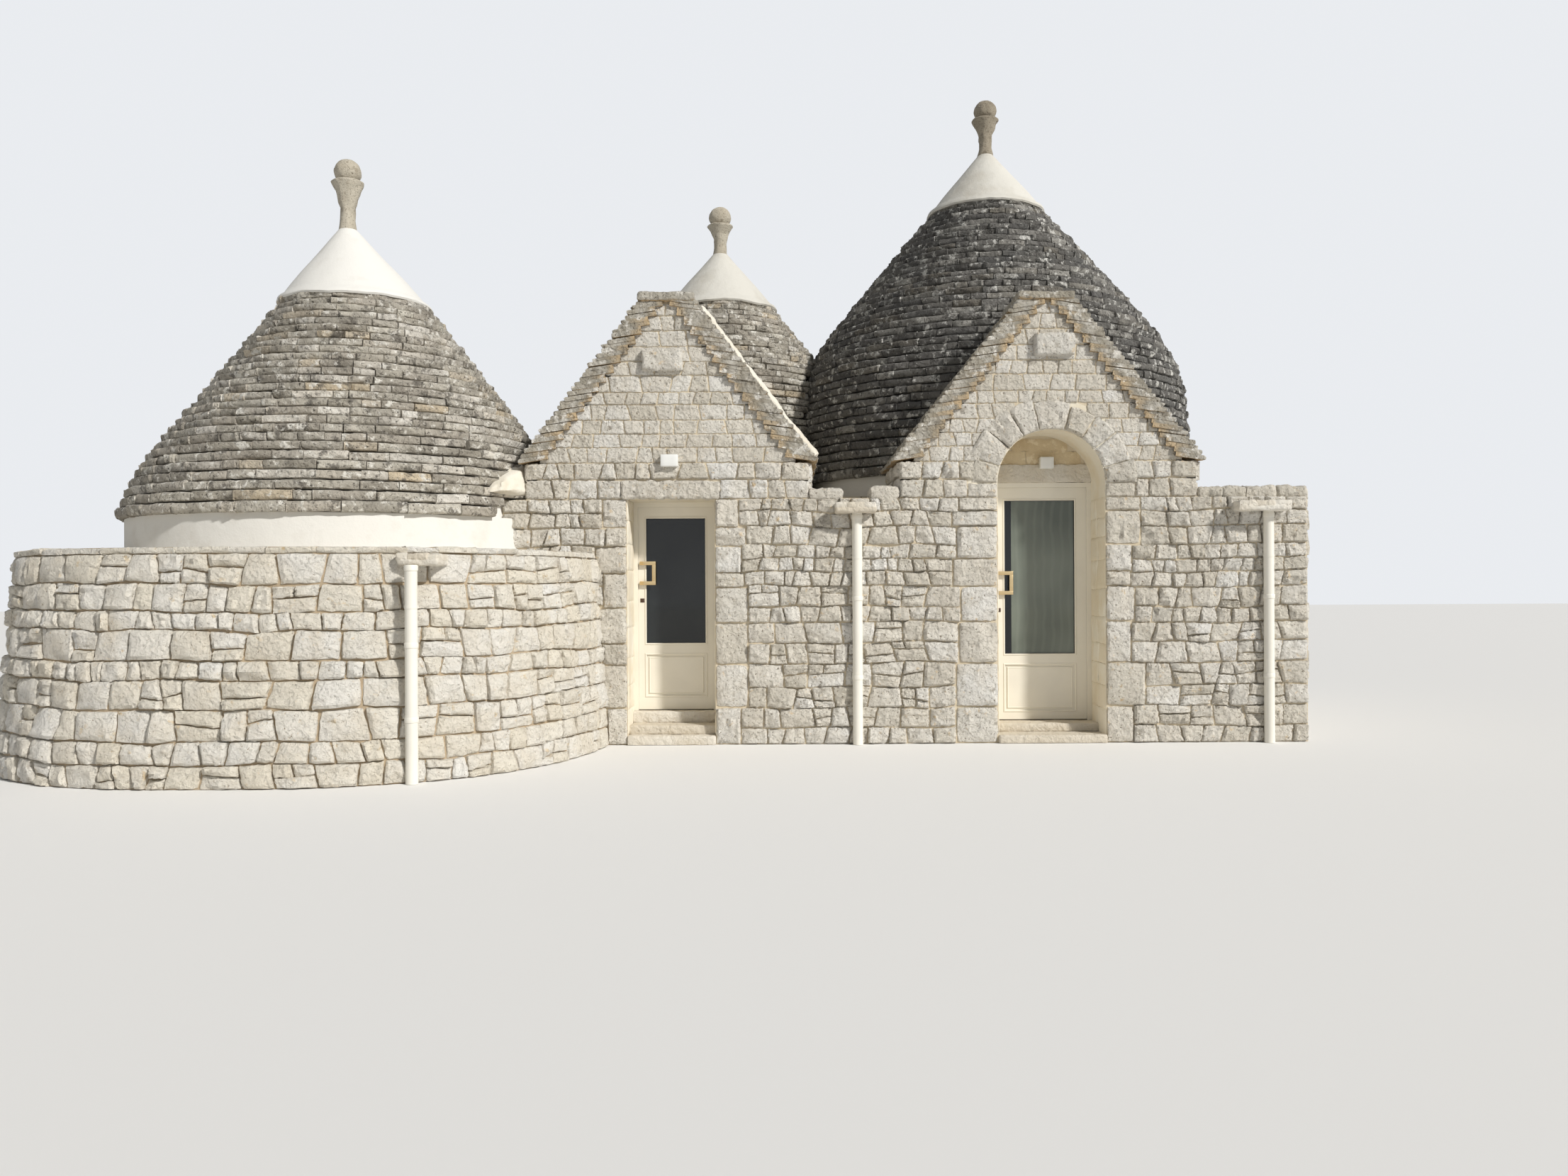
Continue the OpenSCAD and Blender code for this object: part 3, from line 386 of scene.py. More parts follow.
def slabs(centre, along, out, length, depth, height, rng, up=(0, 0, 1), chip=0.013):
    """Slabs whose front face stands at centre: out points outward, along x up = out."""
    n, cols, prof = len(centre), len(SLAB_COLUMNS), len(SLAB_BACK)
    length, depth, height = (np.broadcast_to(v, n)[:, None, None] for v in (length, depth, height))
    up = np.broadcast_to(np.asarray(up, float), (n, 3))
    front = SLAB_BACK > -0.5
    end = np.abs(SLAB_COLUMNS) > 0.95
    s = np.broadcast_to(SLAB_COLUMNS[None, :, None] * length / 2, (n, cols, prof))
    back = SLAB_BACK * np.where(front, PROFILE_DEPTH, 1) * np.where(front, 1, depth)
    back = np.broadcast_to(back, (n, cols, prof)).copy()
    back -= 0.010 * end[None, :, None] * front * rng.uniform(0.1, 1.6, (n, cols, 1))
    spot = np.stack([s, SLAB_RISE * height + 0 * s, 0 * s + np.arange(n)[:, None, None] * APART], -1)
    back += (hewn(spot, 0.10, 31) * chip + rng.normal(0, chip * 0.15, (n, cols, prof))) * front
    tilt = rng.normal(0, 0.010, (n, 1, 1)) * (SLAB_RISE - 0.5)
    back += (tilt + rng.normal(0, 0.003, (n, cols, 1))) * front
    rise = SLAB_RISE * height + rng.normal(0, 0.0022, (n, cols, prof)) * front
    slope = rng.normal(0, 0.003, (n, 1, 1)) * SLAB_COLUMNS[None, :, None]
    rise = rise + slope + rng.normal(0, 0.002, (n, 1, 1))
    points = (centre[:, None, None, :] + s[..., None] * along[:, None, None, :]
              + back[..., None] * out[:, None, None, :] + rise[..., None] * up[:, None, None, :])
    quads = grid_quads(cols, prof)[:, ::-1].tolist()
    index = np.arange(cols * prof).reshape(cols, prof)
    for column, turn in ((index[0], -1), (index[-1], 1)):
        for k in range(3):
            quads.append([column[k], column[prof - 1 - k], column[prof - 2 - k], column[k + 1]][::turn])
    faces = (np.array(quads)[None] + (np.arange(n) * cols * prof)[:, None, None]).reshape(-1, 4)
    return points.reshape(-1, 3), faces, np.repeat(rng.random(n), cols * prof)


# Materials

def plug(node, inputs):
    """Gives each named input of a shader node its value, or another node's output."""
    for key, value in inputs.items():
        if isinstance(value, bpy.types.NodeSocket):
            node.id_data.links.new(value, node.inputs[key])
        else:
            node.inputs[key].default_value = value


def add_node(near, kind, inputs, **settings):
    """A new shader node in the tree of another node or socket."""
    node = near.id_data.nodes.new("ShaderNode" + kind)
    for key, value in settings.items():
        setattr(node, key, value)
    plug(node, inputs)
    return node


def new_material(name):
    """A new material, its shader and the object's own coordinates in it."""
    material = bpy.data.materials.new(name)
    material.use_nodes = True
    bsdf = material.node_tree.nodes["Principled BSDF"]
    return material, bsdf, add_node(bsdf, "TexCoord", {}).outputs["Object"]


def shade(rgb):
    """Linear colour of an sRGB one, which is written as "red green blue" from 0 to 255."""
    return tuple((c / 255 / 12.92) if c < 10.3 else ((c / 255 + 0.055) / 1.055) ** 2.4
                 for c in map(int, rgb.split())) + (1,)


def noise(at, scale, detail=3, roughness=0.55):
    values = {"Scale": scale, "Detail": detail, "Roughness": roughness, "Vector": at}
    return add_node(at, "TexNoise", values).outputs["Fac"]


def ramp(source, *stops):
    """A value turned into colours or greys by (position, colour) stops."""
    node = add_node(source, "ValToRGB", {"Fac": source})
    elements = node.color_ramp.elements
    while len(elements) < len(stops):
        elements.new(0.5)
    for element, (position, colour) in zip(elements, stops):
        element.position = position
        element.color = colour if isinstance(colour, tuple) else (colour, colour, colour, 1)
    return node.outputs["Color"]


def mix(factor, a, b):
    return add_node(factor, "Mix", {0: factor, 6: a, 7: b}, data_type="RGBA").outputs[2]


def over(base, rgb, source, *stops):
    """Lays a colour over the base where the stops say, by the source's value."""
    return mix(ramp(source, *stops), base, shade(rgb))


def bump(bsdf, *heights):
    """Chains bumps of (height socket, distance in metres, strength)."""
    for height, distance, strength in heights:
        before = [link.from_socket for link in bsdf.inputs["Normal"].links]
        node = add_node(bsdf, "Bump", {"Height": height, "Distance": distance, "Strength": strength})
        plug(node, {"Normal": socket for socket in before})
        plug(bsdf, {"Normal": node.outputs["Normal"]})


def upward(at):
    """From 0 on faces that look down to 1 on faces that look up."""
    normal = add_node(at, "NewGeometry", {}).outputs["True Normal"]
    z = add_node(at, "SeparateXYZ", {0: normal}).outputs["Z"]
    return add_node(at, "Math", {0: z, 1: 0.5, 2: 0.5}, operation="MULTIPLY_ADD").outputs[0]


def chisel_marks(at):
    """Height of dents left by a pick, each a few centimetres wide and crooked."""
    shake = add_node(at, "TexNoise", {"Scale": 9, "Vector": at}).outputs["Color"]
    weak = add_node(at, "VectorMath", {"Scale": 0.12, 0: shake}, operation="SCALE").outputs[0]
    crooked = add_node(at, "VectorMath", {0: at, 1: weak}, operation="ADD").outputs[0]
    return add_node(at, "TexVoronoi", {"Scale": 19, "Vector": crooked}).outputs["Distance"]


def stone_material(name, colours, stain, pit_dirt_and_shade, pit_share=0.42, relief=0.02, patch=None,
                   down=None, grain_scale=42, blotch=None, chisel=0.0):
    """Weathered stone: a colour for each stone, cloudy stains, dark pit marks and a rough face. The pit
    marks are dirt and also painted shade, laid in the hollows of the grain bump.
    """
    material, bsdf, at = new_material(name)
    tone = add_node(bsdf, "Attribute", {}, attribute_name="tone").outputs["Fac"]
    colours = [shade(rgb) for rgb in colours.split(",")]
    base = ramp(tone, *((i / (len(colours) - 1), colour) for i, colour in enumerate(colours)))
    base = over(base, stain, noise(at, 3.2, 4, 0.6), (0.42, 0.0), (0.68, 0.7))
    if blotch:
        colour, low_stop, high_stop = blotch
        base = over(base, colour, noise(at, 6.5, 5, 0.7), (low_stop, 0.8), (high_stop, 0.0))
    if patch:
        colour, low_stop, high_stop = patch
        base = over(base, colour, noise(at, 11, 5, 0.65), (low_stop, 0.0), (high_stop, 0.9))
    if down:
        base = over(base, down, upward(at), (0.1, 0.8), (0.3, 0.0))
    grain = noise(at, grain_scale, 6, 0.7)
    # Pit marks: darkened in the hollows of the grain bump, partly dirt and partly painted shade.
    base = over(base, pit_dirt_and_shade, grain, (pit_share - 0.1, 1.0), (pit_share, 0.0))
    plug(bsdf, {"Base Color": base, "Roughness": 0.9})
    if chisel:
        bump(bsdf, (chisel_marks(at), chisel, 1.0))
    bump(bsdf, (grain, relief, 0.9), (noise(at, 120, 3, 0.6), relief / 5, 0.5))
    return material


def lime_material(name, colour, dirt, relief=0.006, dirt_low=0.55, up=None):
    """Lime wash or mortar: pale, cloudy with dirt, with trowel marks and grit."""
    material, bsdf, at = new_material(name)
    base = shade(colour)
    if up:
        base = over(base, up, upward(at), (0.88, 0.0), (0.93, 1.0))
    base = over(base, dirt, noise(at, 2.1, 6, 0.65), (dirt_low, 0.0), (0.8, 0.8))
    plug(bsdf, {"Base Color": base, "Roughness": 0.85})
    bump(bsdf, (noise(at, 7, 3, 0.5), relief * 3, 0.5), (noise(at, 60, 4, 0.6), relief, 0.5))
    return material


def paving_material(name, colour, dirt, joint):
    """Flat stone paving laid in rows."""
    material, bsdf, at = new_material(name)
    brick = add_node(at, "TexBrick", {
        "Vector": at, "Color1": shade(colour), "Color2": shade(dirt), "Mortar": shade(joint), "Scale": 1.0,
        "Mortar Size": 0.008, "Brick Width": 0.46, "Row Height": 0.3})
    cloud = noise(at, 5, 5, 0.6)
    base = over(brick.outputs["Color"], dirt, cloud, (0.45, 0.0), (0.8, 0.6))
    plug(bsdf, {"Base Color": base, "Roughness": 0.8})
    bump(bsdf, (brick.outputs["Fac"], -0.006, 0.7), (cloud, 0.006, 0.4))
    return material


def paint_material(name, colour, rough, grain_scale=40, relief=0.0006, metallic=0.0):
    """Paint, plastic or metal with a faint cloud and a fine grain."""
    material, bsdf, at = new_material(name)
    pale = shade(colour)
    dull = tuple(c * 0.9 for c in pale[:3]) + (1,)
    base = mix(ramp(noise(at, 3, 3, 0.5), (0.4, 0.0), (0.75, 0.7)), pale, dull)
    plug(bsdf, {"Base Color": base, "Roughness": rough, "Metallic": metallic})
    bump(bsdf, (noise(at, grain_scale, 3, 0.5), relief, 0.6))
    return material


def glass_material(name, dark, light, band_x=None):
    """Pane with a soft uneven tint from dark to light. Without band_x the dark is painted shade of the room
    behind the glass and the lighter patches are painted reflection. From band_x on it has the folds of a
    pale curtain behind it; short of band_x it is painted near black as shade of the room.
    """
    material, bsdf, at = new_material(name)
    wave = noise(at, 1.2, 2, 0.4)
    base = ramp(wave, (0.3, shade(dark)), (0.75, shade(light)))
    if band_x is not None:
        x = add_node(at, "SeparateXYZ", {0: at}).outputs["X"]
        past = add_node(at, "Math", {0: x, 1: band_x}, operation="GREATER_THAN").outputs[0]
        folds = add_node(at, "TexWave", {"Scale": 3.4, "Distortion": 5.0, "Detail Scale": 0.6, "Vector": at})
        base = over(base, "150 156 146", folds.outputs["Fac"], (0.5, 0.0), (1.0, 0.14))
        # Short of band_x: painted near black, the shade of the room behind the glass.
        base = mix(past, shade("24 27 30"), base)
    plug(bsdf, {"Base Color": base, "Roughness": 0.05, "Alpha": 0.9})
    bump(bsdf, (wave, 0.004, 0.25))
    return material


def verge_material(name, colours):
    """Roof stone of the gables, ochre on faces that look down."""
    return stone_material(name, colours, "156 149 134", "94 85 70", 0.44, 0.028, down="196 164 116",
                          patch=("242 238 229", 0.54, 0.64), grain_scale=34,
                          blotch=("138 130 116", 0.36, 0.44), chisel=0.02)


WALL_STONE = stone_material(
    "wall_stone", "224 217 203, 242 238 229, 232 225 211, 245 242 235, 216 209 194, 238 232 219",
    "222 214 199", "124 110 90", 0.43, 0.03, patch=("226 200 158", 0.61, 0.72),
    blotch=("178 170 156", 0.33, 0.41), chisel=0.022)
LOW_STONE = stone_material(
    "low_wall_stone", "240 233 218, 247 243 234, 243 235 217, 249 246 239",
    "231 221 202", "150 130 105", 0.4, 0.032, patch=("228 203 160", 0.62, 0.74),
    blotch=("200 191 176", 0.3, 0.38), chisel=0.022)
DRESSED_STONE = stone_material(
    "dressed_stone", "222 215 202, 236 231 220, 216 206 188, 240 236 227",
    "214 203 183", "150 134 110", 0.38, 0.014, chisel=0.01)
JAMB_PLASTER = stone_material(
    "jamb_plaster", "236 229 212, 240 234 219, 233 223 202", "226 212 184", "190 170 132", 0.3, 0.006)
OLD_PLASTER = stone_material(
    "old_plaster", "220 203 170, 212 192 156", "194 170 130", "168 146 112", 0.34, 0.012,
    patch=("232 217 187", 0.54, 0.62))
SLAB_LIGHT = stone_material(
    "slab_stone_light", "171 165 153, 203 197 184, 184 177 163, 220 214 200, "
    "178 171 159, 197 189 175, 240 235 225, 214 197 168",
    "140 133 121", "66 60 52", 0.44, 0.03, patch=("240 236 226", 0.55, 0.62), grain_scale=34,
    blotch=("104 99 91", 0.37, 0.45), chisel=0.018)
# Slabs of the right cone: a darker stone, and darker still as painted shade over the whole cone.
SLAB_DARK_AND_SHADED = stone_material(
    "slab_stone_dark_and_shaded", "91 90 88, 120 118 113, 103 101 98, 141 138 132, "
    "96 95 92, 113 111 106, 172 169 162, 122 116 105",
    "98 95 90", "50 46 41", 0.44, 0.03, patch=("222 220 213", 0.55, 0.63), grain_scale=34,
    blotch=("72 69 65", 0.38, 0.46), chisel=0.018)
VERGE_GREYS = "172 165 150, 196 190 177, 182 174 158, 208 203 192, 166 159 145"
VERGE_STONE = verge_material("verge_stone", VERGE_GREYS)
# The last colour is the ochre of the slabs' inner ends
VERGE_SLAB = verge_material("verge_slab", VERGE_GREYS + ", 214 187 146")
MORTAR = lime_material("beige_mortar", "216 202 176", "188 170 140", 0.01, up="228 223 212")
JOINT_EARTH = lime_material("low_wall_joints", "176 158 132", "140 122 98", 0.012, up="226 220 208")
LIME = lime_material("lime_wash", "229 227 221", "210 205 195", 0.004)
# Lime of the middle and right caps: weathered and dirtier, and greyer as painted shade.
OLD_LIME_AND_SHADE = lime_material("old_lime_wash_and_painted_shade", "214 211 202", "184 177 162", 0.007, 0.47)
LIME_EDGE = lime_material("lime_edge", "232 226 212", "206 192 166", 0.012, 0.5)
FINIAL_PALE = stone_material(
    "finial_stone_pale", "206 198 181, 206 198 181", "182 171 151", "112 101 82", 0.44, 0.014,
    patch=("160 149 130", 0.56, 0.7), grain_scale=60)
FINIAL_DARK = stone_material(
    "finial_stone_dark", "172 162 144, 172 162 144", "140 128 108", "84 74 60", 0.45, 0.016,
    patch=("120 110 94", 0.54, 0.68), grain_scale=60)
PAVING = paving_material("roof_paving", "214 204 184", "186 174 152", "150 136 112")
DOOR_PAINT = paint_material("cream_paint", "238 232 217", 0.38)
PIPE_PAINT = paint_material("pipe_paint", "238 234 222", 0.42)
LAMP_PLASTIC = paint_material("lamp_plastic", "236 236 232", 0.35)
WARM_STEEL = paint_material("warm_steel", "222 196 150", 0.26, 200, 0.0003, 1.0)
BRONZE = paint_material("dark_bronze", "92 72 60", 0.4, 120, 0.0003, 0.6)
GASKET = paint_material("glazing_gasket", "52 52 50", 0.6)
# Left pane: painted dark as shade of the room behind it, with soft lighter patches as painted reflection.
LEFT_GLASS = glass_material("left_door_pane", "26 29 31", "52 56 57")
CURTAIN_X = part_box("right_door_glass")[0].x + 0.085
RIGHT_GLASS = glass_material("right_door_pane", "92 99 90", "134 141 130", CURTAIN_X)


# Roof cones: a straight upper side that bends over a shoulder into an upright foot, as in the solids

SHOULDER = 8
FACE_SHARE = 0.6
STEEP = {"left": 1.15, "middle": 2.3, "right": 1.67}
SLAB_DEPTH = 0.19
# Courses get a little thinner up the cone by this power
COURSE_POWER = 0.93
# The left cone isn't plumb: how far its centre lies to the right of its axis, at these heights
LEAN_Z = (2.25, 3.3, 4.4, 4.75, 5.4)
LEAN_X = (0.0, 0.085, 0.055, 0.02, -0.045)


def bend(u):
    return u / (1 + u ** SHOULDER) ** (1 / SHOULDER)


def cone_radius(share, eaves_r, cap_r, steep):
    return cap_r + (eaves_r - cap_r) * bend(steep * (1 - share)) / bend(steep)


def cone_of(cone):
    """Axis, eaves radius, cap radius, eaves height, height and steepness of a cone, from the frame."""
    low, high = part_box(cone + "_roof_slabs")
    axis = middle(cone + "_cap")
    eaves_r = max(axis.x - low.x, high.x - axis.x, high.y - axis.y)
    return axis, eaves_r, box_size(cone + "_cap").x / 2, low.z, high.z - low.z, STEEP[cone]


CONES = {cone: cone_of(cone) for cone in STEEP}


def lean_at(cone, z):
    return np.interp(z, LEAN_Z, LEAN_X) if cone == "left" else 0 * z


def radius_at(cone, z):
    _, eaves_r, cap_r, base_z, cone_h, steep = CONES[cone]
    return cone_radius(np.clip((z - base_z) / cone_h, 0, 1), eaves_r, cap_r, steep)


def cone_slabs(cone, courses, material, keep, mean_low, mean_high):
    """Slab courses of one cone, each slab a stone of its own. keep(points) says which are built."""
    name = cone + "_cone_slabs"
    rng = rng_for(name)
    axis, eaves_r, cap_r, base_z, cone_h, steep = CONES[cone]
    sets = []
    for i in range(courses):
        base, top = (i / courses) ** COURSE_POWER, ((i + 1) / courses) ** COURSE_POWER
        share = base + FACE_SHARE * (top - base) if i else 0
        radius = cone_radius(share, eaves_r, cap_r, steep) + rng.normal(0, 0.004)
        count = int(2 * math.pi * radius / (mean_low + (mean_high - mean_low) * base))
        part = rng.uniform(0.45, 1.7, count)
        cuts = np.cumsum(part) / part.sum() * 2 * math.pi + rng.uniform(0, 2 * math.pi)
        half = part / part.sum() * math.pi
        angle = cuts - half
        out = np.stack([np.cos(angle), np.sin(angle), np.zeros(count)], -1)
        along = np.stack([-np.sin(angle), np.cos(angle), np.zeros(count)], -1)
        reach = radius * np.cos(half) + rng.normal(0, 0.006, count) + 0.004
        along = along + out * rng.normal(0, 0.012, count)[:, None]
        z = base_z + base * cone_h
        centre = np.array([axis.x + lean_at(cone, z), axis.y, z]) + out * reach[:, None]
        length = 2 * reach * np.tan(half) - rng.uniform(0.003, 0.012, count)
        height = (top - base) * cone_h - rng.uniform(0.009, 0.015, count)
        use = keep(centre)
        sets.append(slabs(centre[use], along[use], out[use], length[use], SLAB_DEPTH, height[use], rng))
    add_piece(name, joined(sets), material, "roof_stone", (cone + "_roof_slabs",))


def left_keep(centre):
    """Slabs of the left cone that don't run into the front block or its gable."""
    in_front = (centre[:, 0] > FRONT_X0 + 0.05) & (centre[:, 2] < WALL_H) & (centre[:, 1] < -0.45)
    in_block = (centre[:, 0] > BLOCK_X0 + 0.03) & (centre[:, 2] < GABLE_EAVES_Z + 0.15)
    return ~(in_front | in_block)


def middle_keep(centre):
    """Slabs of the middle cone that aren't inside the right one."""
    axis = CONES["right"][0]
    return np.hypot(centre[:, 0] - axis.x, centre[:, 1] - axis.y) > radius_at("right", centre[:, 2]) - 0.05


def all_keep(centre):
    """Every slab."""
    return np.ones(len(centre), bool)


cone_slabs("left", 27, SLAB_LIGHT, left_keep, 0.36, 0.25)
cone_slabs("middle", 29, SLAB_LIGHT, middle_keep, 0.3, 0.22)
cone_slabs("right", 39, SLAB_DARK_AND_SHADED, all_keep, 0.36, 0.24)


# Lime caps and finials

NECK_R, CUP_R, BALL_R = 0.078, 0.165, 0.14
CAP_TOP_R = NECK_R + 0.014
CAP_BULGE = 0.16


def leaning(cone, form):
    """Moves a form sideways with the lean of its cone."""
    form[0][:, 0] += lean_at(cone, form[0][:, 2])
    return form


def lime_cap(cone, count=112):
    """White cap with a hand-laid lower edge that runs over the top slabs, up into the finial's neck."""
    name = cone + "_lime_cap"
    rng = rng_for(name)
    node = cone + "_cap"
    low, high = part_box(node)
    base_r, height = CONES[cone][2], high.z - low.z
    angle = np.linspace(0, 2 * math.pi, count, endpoint=False)
    ring = np.stack([np.cos(angle), np.sin(angle), np.full(count, low.z)], -1)
    drop = 0.012 + 0.04 * (lattice_noise(ring * 3.1, 2) - 0.3) + 0.014 * lattice_noise(ring * 9.0, 4)
    edge_z = low.z - drop
    below = np.linspace(low.z - 0.3, low.z, 20)
    edge_r = np.interp(edge_z, below, radius_at(cone, below))
    radius = [edge_r - 0.06, edge_r + 0.008, edge_r + 0.02, (edge_r + base_r) / 2 + 0.018]
    heights = [edge_z - 0.004, edge_z - 0.006, edge_z + 0.012, (edge_z + low.z) / 2 + 0.03]
    for t in np.linspace(0.06, 1, 22):
        r = CAP_TOP_R + (base_r - CAP_TOP_R) * (1 - t) * (1 + CAP_BULGE * t) / (1 + CAP_BULGE * t * t)
        radius.append(np.full(count, r + 0.008 * (1 - t) ** 2 + 0.002))
        heights.append(np.full(count, low.z + height * t))
    cap = lathe(middle(node).xy, np.array(radius), np.array(heights), rng, 0.006, 0.22)
    # The middle and right caps take the greyer lime, which is partly weathering and partly painted shade.
    add_piece(name, leaning(cone, cap), LIME if cone == "left" else OLD_LIME_AND_SHADE, "lime", (node,), sharp=50)


def finial(cone, count=56):
    """Weathered stone finial: a neck, an open cup and the ball that rests in it."""
    name = cone + "_finial_stone"
    rng = rng_for(name)
    node = cone + "_finial"
    low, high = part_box(node)
    height = high.z - low.z
    ball_z = high.z - BALL_R
    cup_z = ball_z - 0.12
    neck_z = low.z + height * 0.24
    rings = [(CAP_TOP_R + 0.004, low.z - 0.01), (CAP_TOP_R - 0.004, low.z + 0.03),
             (NECK_R, low.z + height * 0.14)]
    for t in np.linspace(0, 1, 12):
        rings.append((NECK_R + (CUP_R - NECK_R) * t ** 1.7, neck_z + (cup_z - neck_z) * t))
    rings += [(CUP_R + 0.001, cup_z + 0.008), (CUP_R - 0.014, cup_z + 0.02), (CUP_R - 0.04, cup_z + 0.012),
              (0.06, cup_z + 0.004), (0.004, cup_z)]
    cup = turned(middle(node).xy, rings, count, rng, 0.014, 0.06)
    lift = np.linspace(-math.pi / 2 + 0.03, math.pi / 2 - 0.03, 22)
    ball_rings = np.stack([BALL_R * np.cos(lift), ball_z + (BALL_R - 0.004) * np.sin(lift)], -1)
    ball = turned(middle(node).xy, ball_rings, count, rng, 0.010, 0.05)
    stone = FINIAL_DARK if cone == "right" else FINIAL_PALE
    add_piece(name, leaning(cone, joined([cup, ball])), stone, "limestone", (node,), sharp=60)


for each in CONES:
    lime_cap(each)
    finial(each)


# Front of the house

GABLE_COURSES = 17
GABLE_SLAB = 0.29
RIDGE_HALF = 0.275
LINTEL_LOW, LINTEL_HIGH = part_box("left_door_lintel")
ARCH_LOW, ARCH_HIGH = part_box("right_arch")
ARCH_X = (ARCH_LOW.x + ARCH_HIGH.x) / 2
ARCH_R1 = (ARCH_HIGH.x - ARCH_LOW.x) / 2
ARCH_Z = ARCH_HIGH.z - ARCH_R1
ARCH_R0 = (RDOOR_X1 - RDOOR_X0) / 2
# How far rubble runs in under the arch stones, and where it starts behind the low wall
UNDER_RING = 0.07
HIDDEN_X = -1.4
# Angle in degrees from which an edge of rough stone is drawn sharp
CRISP = 27
# Edge of the doorway, side of it and least and most width of its jamb stones
QUOINS = ((RDOOR_X0, -1, (0.34, 0.46)), (RDOOR_X1, 1, (0.24, 0.4)),
          (LDOOR_X1, 1, (0.22, 0.36)), (LDOOR_X0, -1, (0.18, 0.32)))
LDOOR_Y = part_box("left_door_leaf")[0].y - 0.026
RDOOR_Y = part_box("right_door_leaf")[0].y - 0.026


def gable_outer(z, side):
    """Half the width of a gable roof at the height z."""
    tip = box_size(side + "_gable_roof").x / 2
    share = np.clip((z - GABLE_EAVES_Z) / (RIDGE_Z - GABLE_EAVES_Z), 0, 1)
    return tip + (RIDGE_HALF - tip) * share


def gable_span(z, side):
    """Stretch of a gable wall that is stone at the height z."""
    half = box_size(side + "_gable_wall").x / 2
    if z >= GABLE_EAVES_Z:
        half = min(half, gable_outer(z, side) - GABLE_SLAB + 0.13)
    x = middle(side + "_gable_roof").x
    return x - half, x + half


def cut(spans, x0, x1):
    """Takes the stretch x0..x1 out of a list of stretches."""
    return [(a, b) for low, high in spans for a, b in ((low, min(high, x0)), (max(low, x1), high)) if a < b]


def front_spans(z):
    """Stretches of the front wall and gables that are stone at the height z."""
    if z < WALL_H:
        start = HIDDEN_X if z < LOW_H - 0.1 else FRONT_X0
        return cut(cut([(start, FRONT_X1)], LDOOR_X0, LDOOR_X1), RDOOR_X0, RDOOR_X1)
    spans = [gable_span(z, "left"), gable_span(z, "right")]
    if z < LINTEL_HIGH.z:
        spans = cut(spans, LINTEL_LOW.x, LINTEL_HIGH.x)
    if z < ARCH_Z:
        spans = cut(spans, ARCH_X - ARCH_R1, ARCH_X + ARCH_R1)
    elif z < ARCH_HIGH.z:
        half = max(math.sqrt(ARCH_R1 ** 2 - (z - ARCH_Z) ** 2) - UNDER_RING, 0.0)
        spans = cut(spans, ARCH_X - half, ARCH_X + half)
    return spans


def whole(width):
    """Spans of a wall without openings."""
    return lambda z: [(0, width)]


def rectangle(x0, x1, z0, z1):
    return (x0, z0), (x1, z0), (x1, z1), (x0, z1)


def quoins(levels, rng):
    """Large jamb stones beside the doors, each as high as one or two rows, and the spans they leave."""
    blocks = []
    for x, side, wide in QUOINS:
        k = 0
        while k < len(levels) - 1:
            top = min(k + (2 if rng.random() < 0.7 else 1), len(levels) - 1)
            x0, x1 = sorted((x, x + side * rng.uniform(*wide)))
            blocks.append((x0, x1, levels[k], levels[top]))
            k = top

    def spans(z):
        left = front_spans(z)
        for x0, x1, z0, z1 in blocks:
            if z0 < z < z1:
                left = cut(left, x0, x1)
        return left

    return np.array([rectangle(*block) for block in blocks]), spans


def front_face():
    """Stones of the front wall, of the band over it and of both gables."""
    rng = rng_for("front_stones")
    levels = rows(0, WALL_H, rng, 0.13, 0.24)
    blocks, spans = quoins(levels, rng)
    lower = rubble_cells(levels, spans, rng, RUBBLE, (0.12, 0.3), wave=0.035)
    lower = np.concatenate([lower, blocks])
    band = rubble_cells(rows(WALL_H, GABLE_EAVES_Z, rng, 0.13, 0.21), front_spans, rng, RUBBLE, (0.13, 0.28))
    upper = rubble_cells(rows(GABLE_EAVES_Z, RIDGE_Z - 0.02, rng, 0.12, 0.19), front_spans, rng,
                         SQUARED, (0.08, 0.2), wave=0.008)
    wall = stones(lower, FRONT_PLANE, rng, proud=(0.018, 0.042), rough=0.021)
    add_piece("front_stones", wall, WALL_STONE, "limestone", sharp=CRISP)
    gables = stones(upper, FRONT_PLANE, rng, joint=0.0025, proud=(0.006, 0.016), rough=0.007,
                    round_off=0.1, facets=0.2)
    over_wall = stones(band, FRONT_PLANE, rng, proud=(0.016, 0.036), rough=0.02)
    add_piece("gable_face_stones", joined([over_wall, gables]), WALL_STONE, "limestone", sharp=CRISP)


def lintel_stones():
    """One long rough stone over the left door."""
    low = (LINTEL_LOW.x + 0.004, FRONT_Y - 0.045, LINTEL_LOW.z + 0.006)
    high = (LINTEL_HIGH.x - 0.004, FRONT_Y + 0.03, LINTEL_HIGH.z - 0.004)
    stone = rough_box(low, high, rng_for("lintel_stones"), 0.024, 0.016, 0.02, 0.08)
    add_piece("left_lintel_stones", stone, WALL_STONE, "limestone", sharp=CRISP)


def arch_stones():
    """Ring of rough arch stones round the right door's arch, with its two springers."""
    rng = rng_for("arch_stones")
    cuts = np.array([0, 0.1, 0.22, 0.33, 0.43, 0.58, 0.69, 0.79, 0.91, 1]) * math.pi
    flat = np.array([rectangle(a0, a1, ARCH_R0, ARCH_R1 + rng.uniform(-0.05, 0.05))
                     for a0, a1 in zip(cuts, cuts[1:])])
    scale = ARCH_R0 * 1.25
    flat[..., 0] *= scale

    def place(u, v, h):
        angle = u / scale
        return np.stack([ARCH_X - v * np.cos(angle), FRONT_Y - h, ARCH_Z + v * np.sin(angle)], -1)

    ring = stones(flat, place, rng, joint=0.002, proud=(0.024, 0.038), rough=0.022, round_off=0.09)
    straight = [rectangle(*sorted((ARCH_X + side * ARCH_R0, ARCH_X + side * ARCH_R1)), WALL_H, ARCH_Z)
                for side in (-1, 1)]
    sides = stones(np.array(straight), FRONT_PLANE, rng, proud=(0.02, 0.04), rough=0.018)
    add_piece("arch_ring_stones", joined([ring, sides]), WALL_STONE, "limestone", sharp=CRISP)


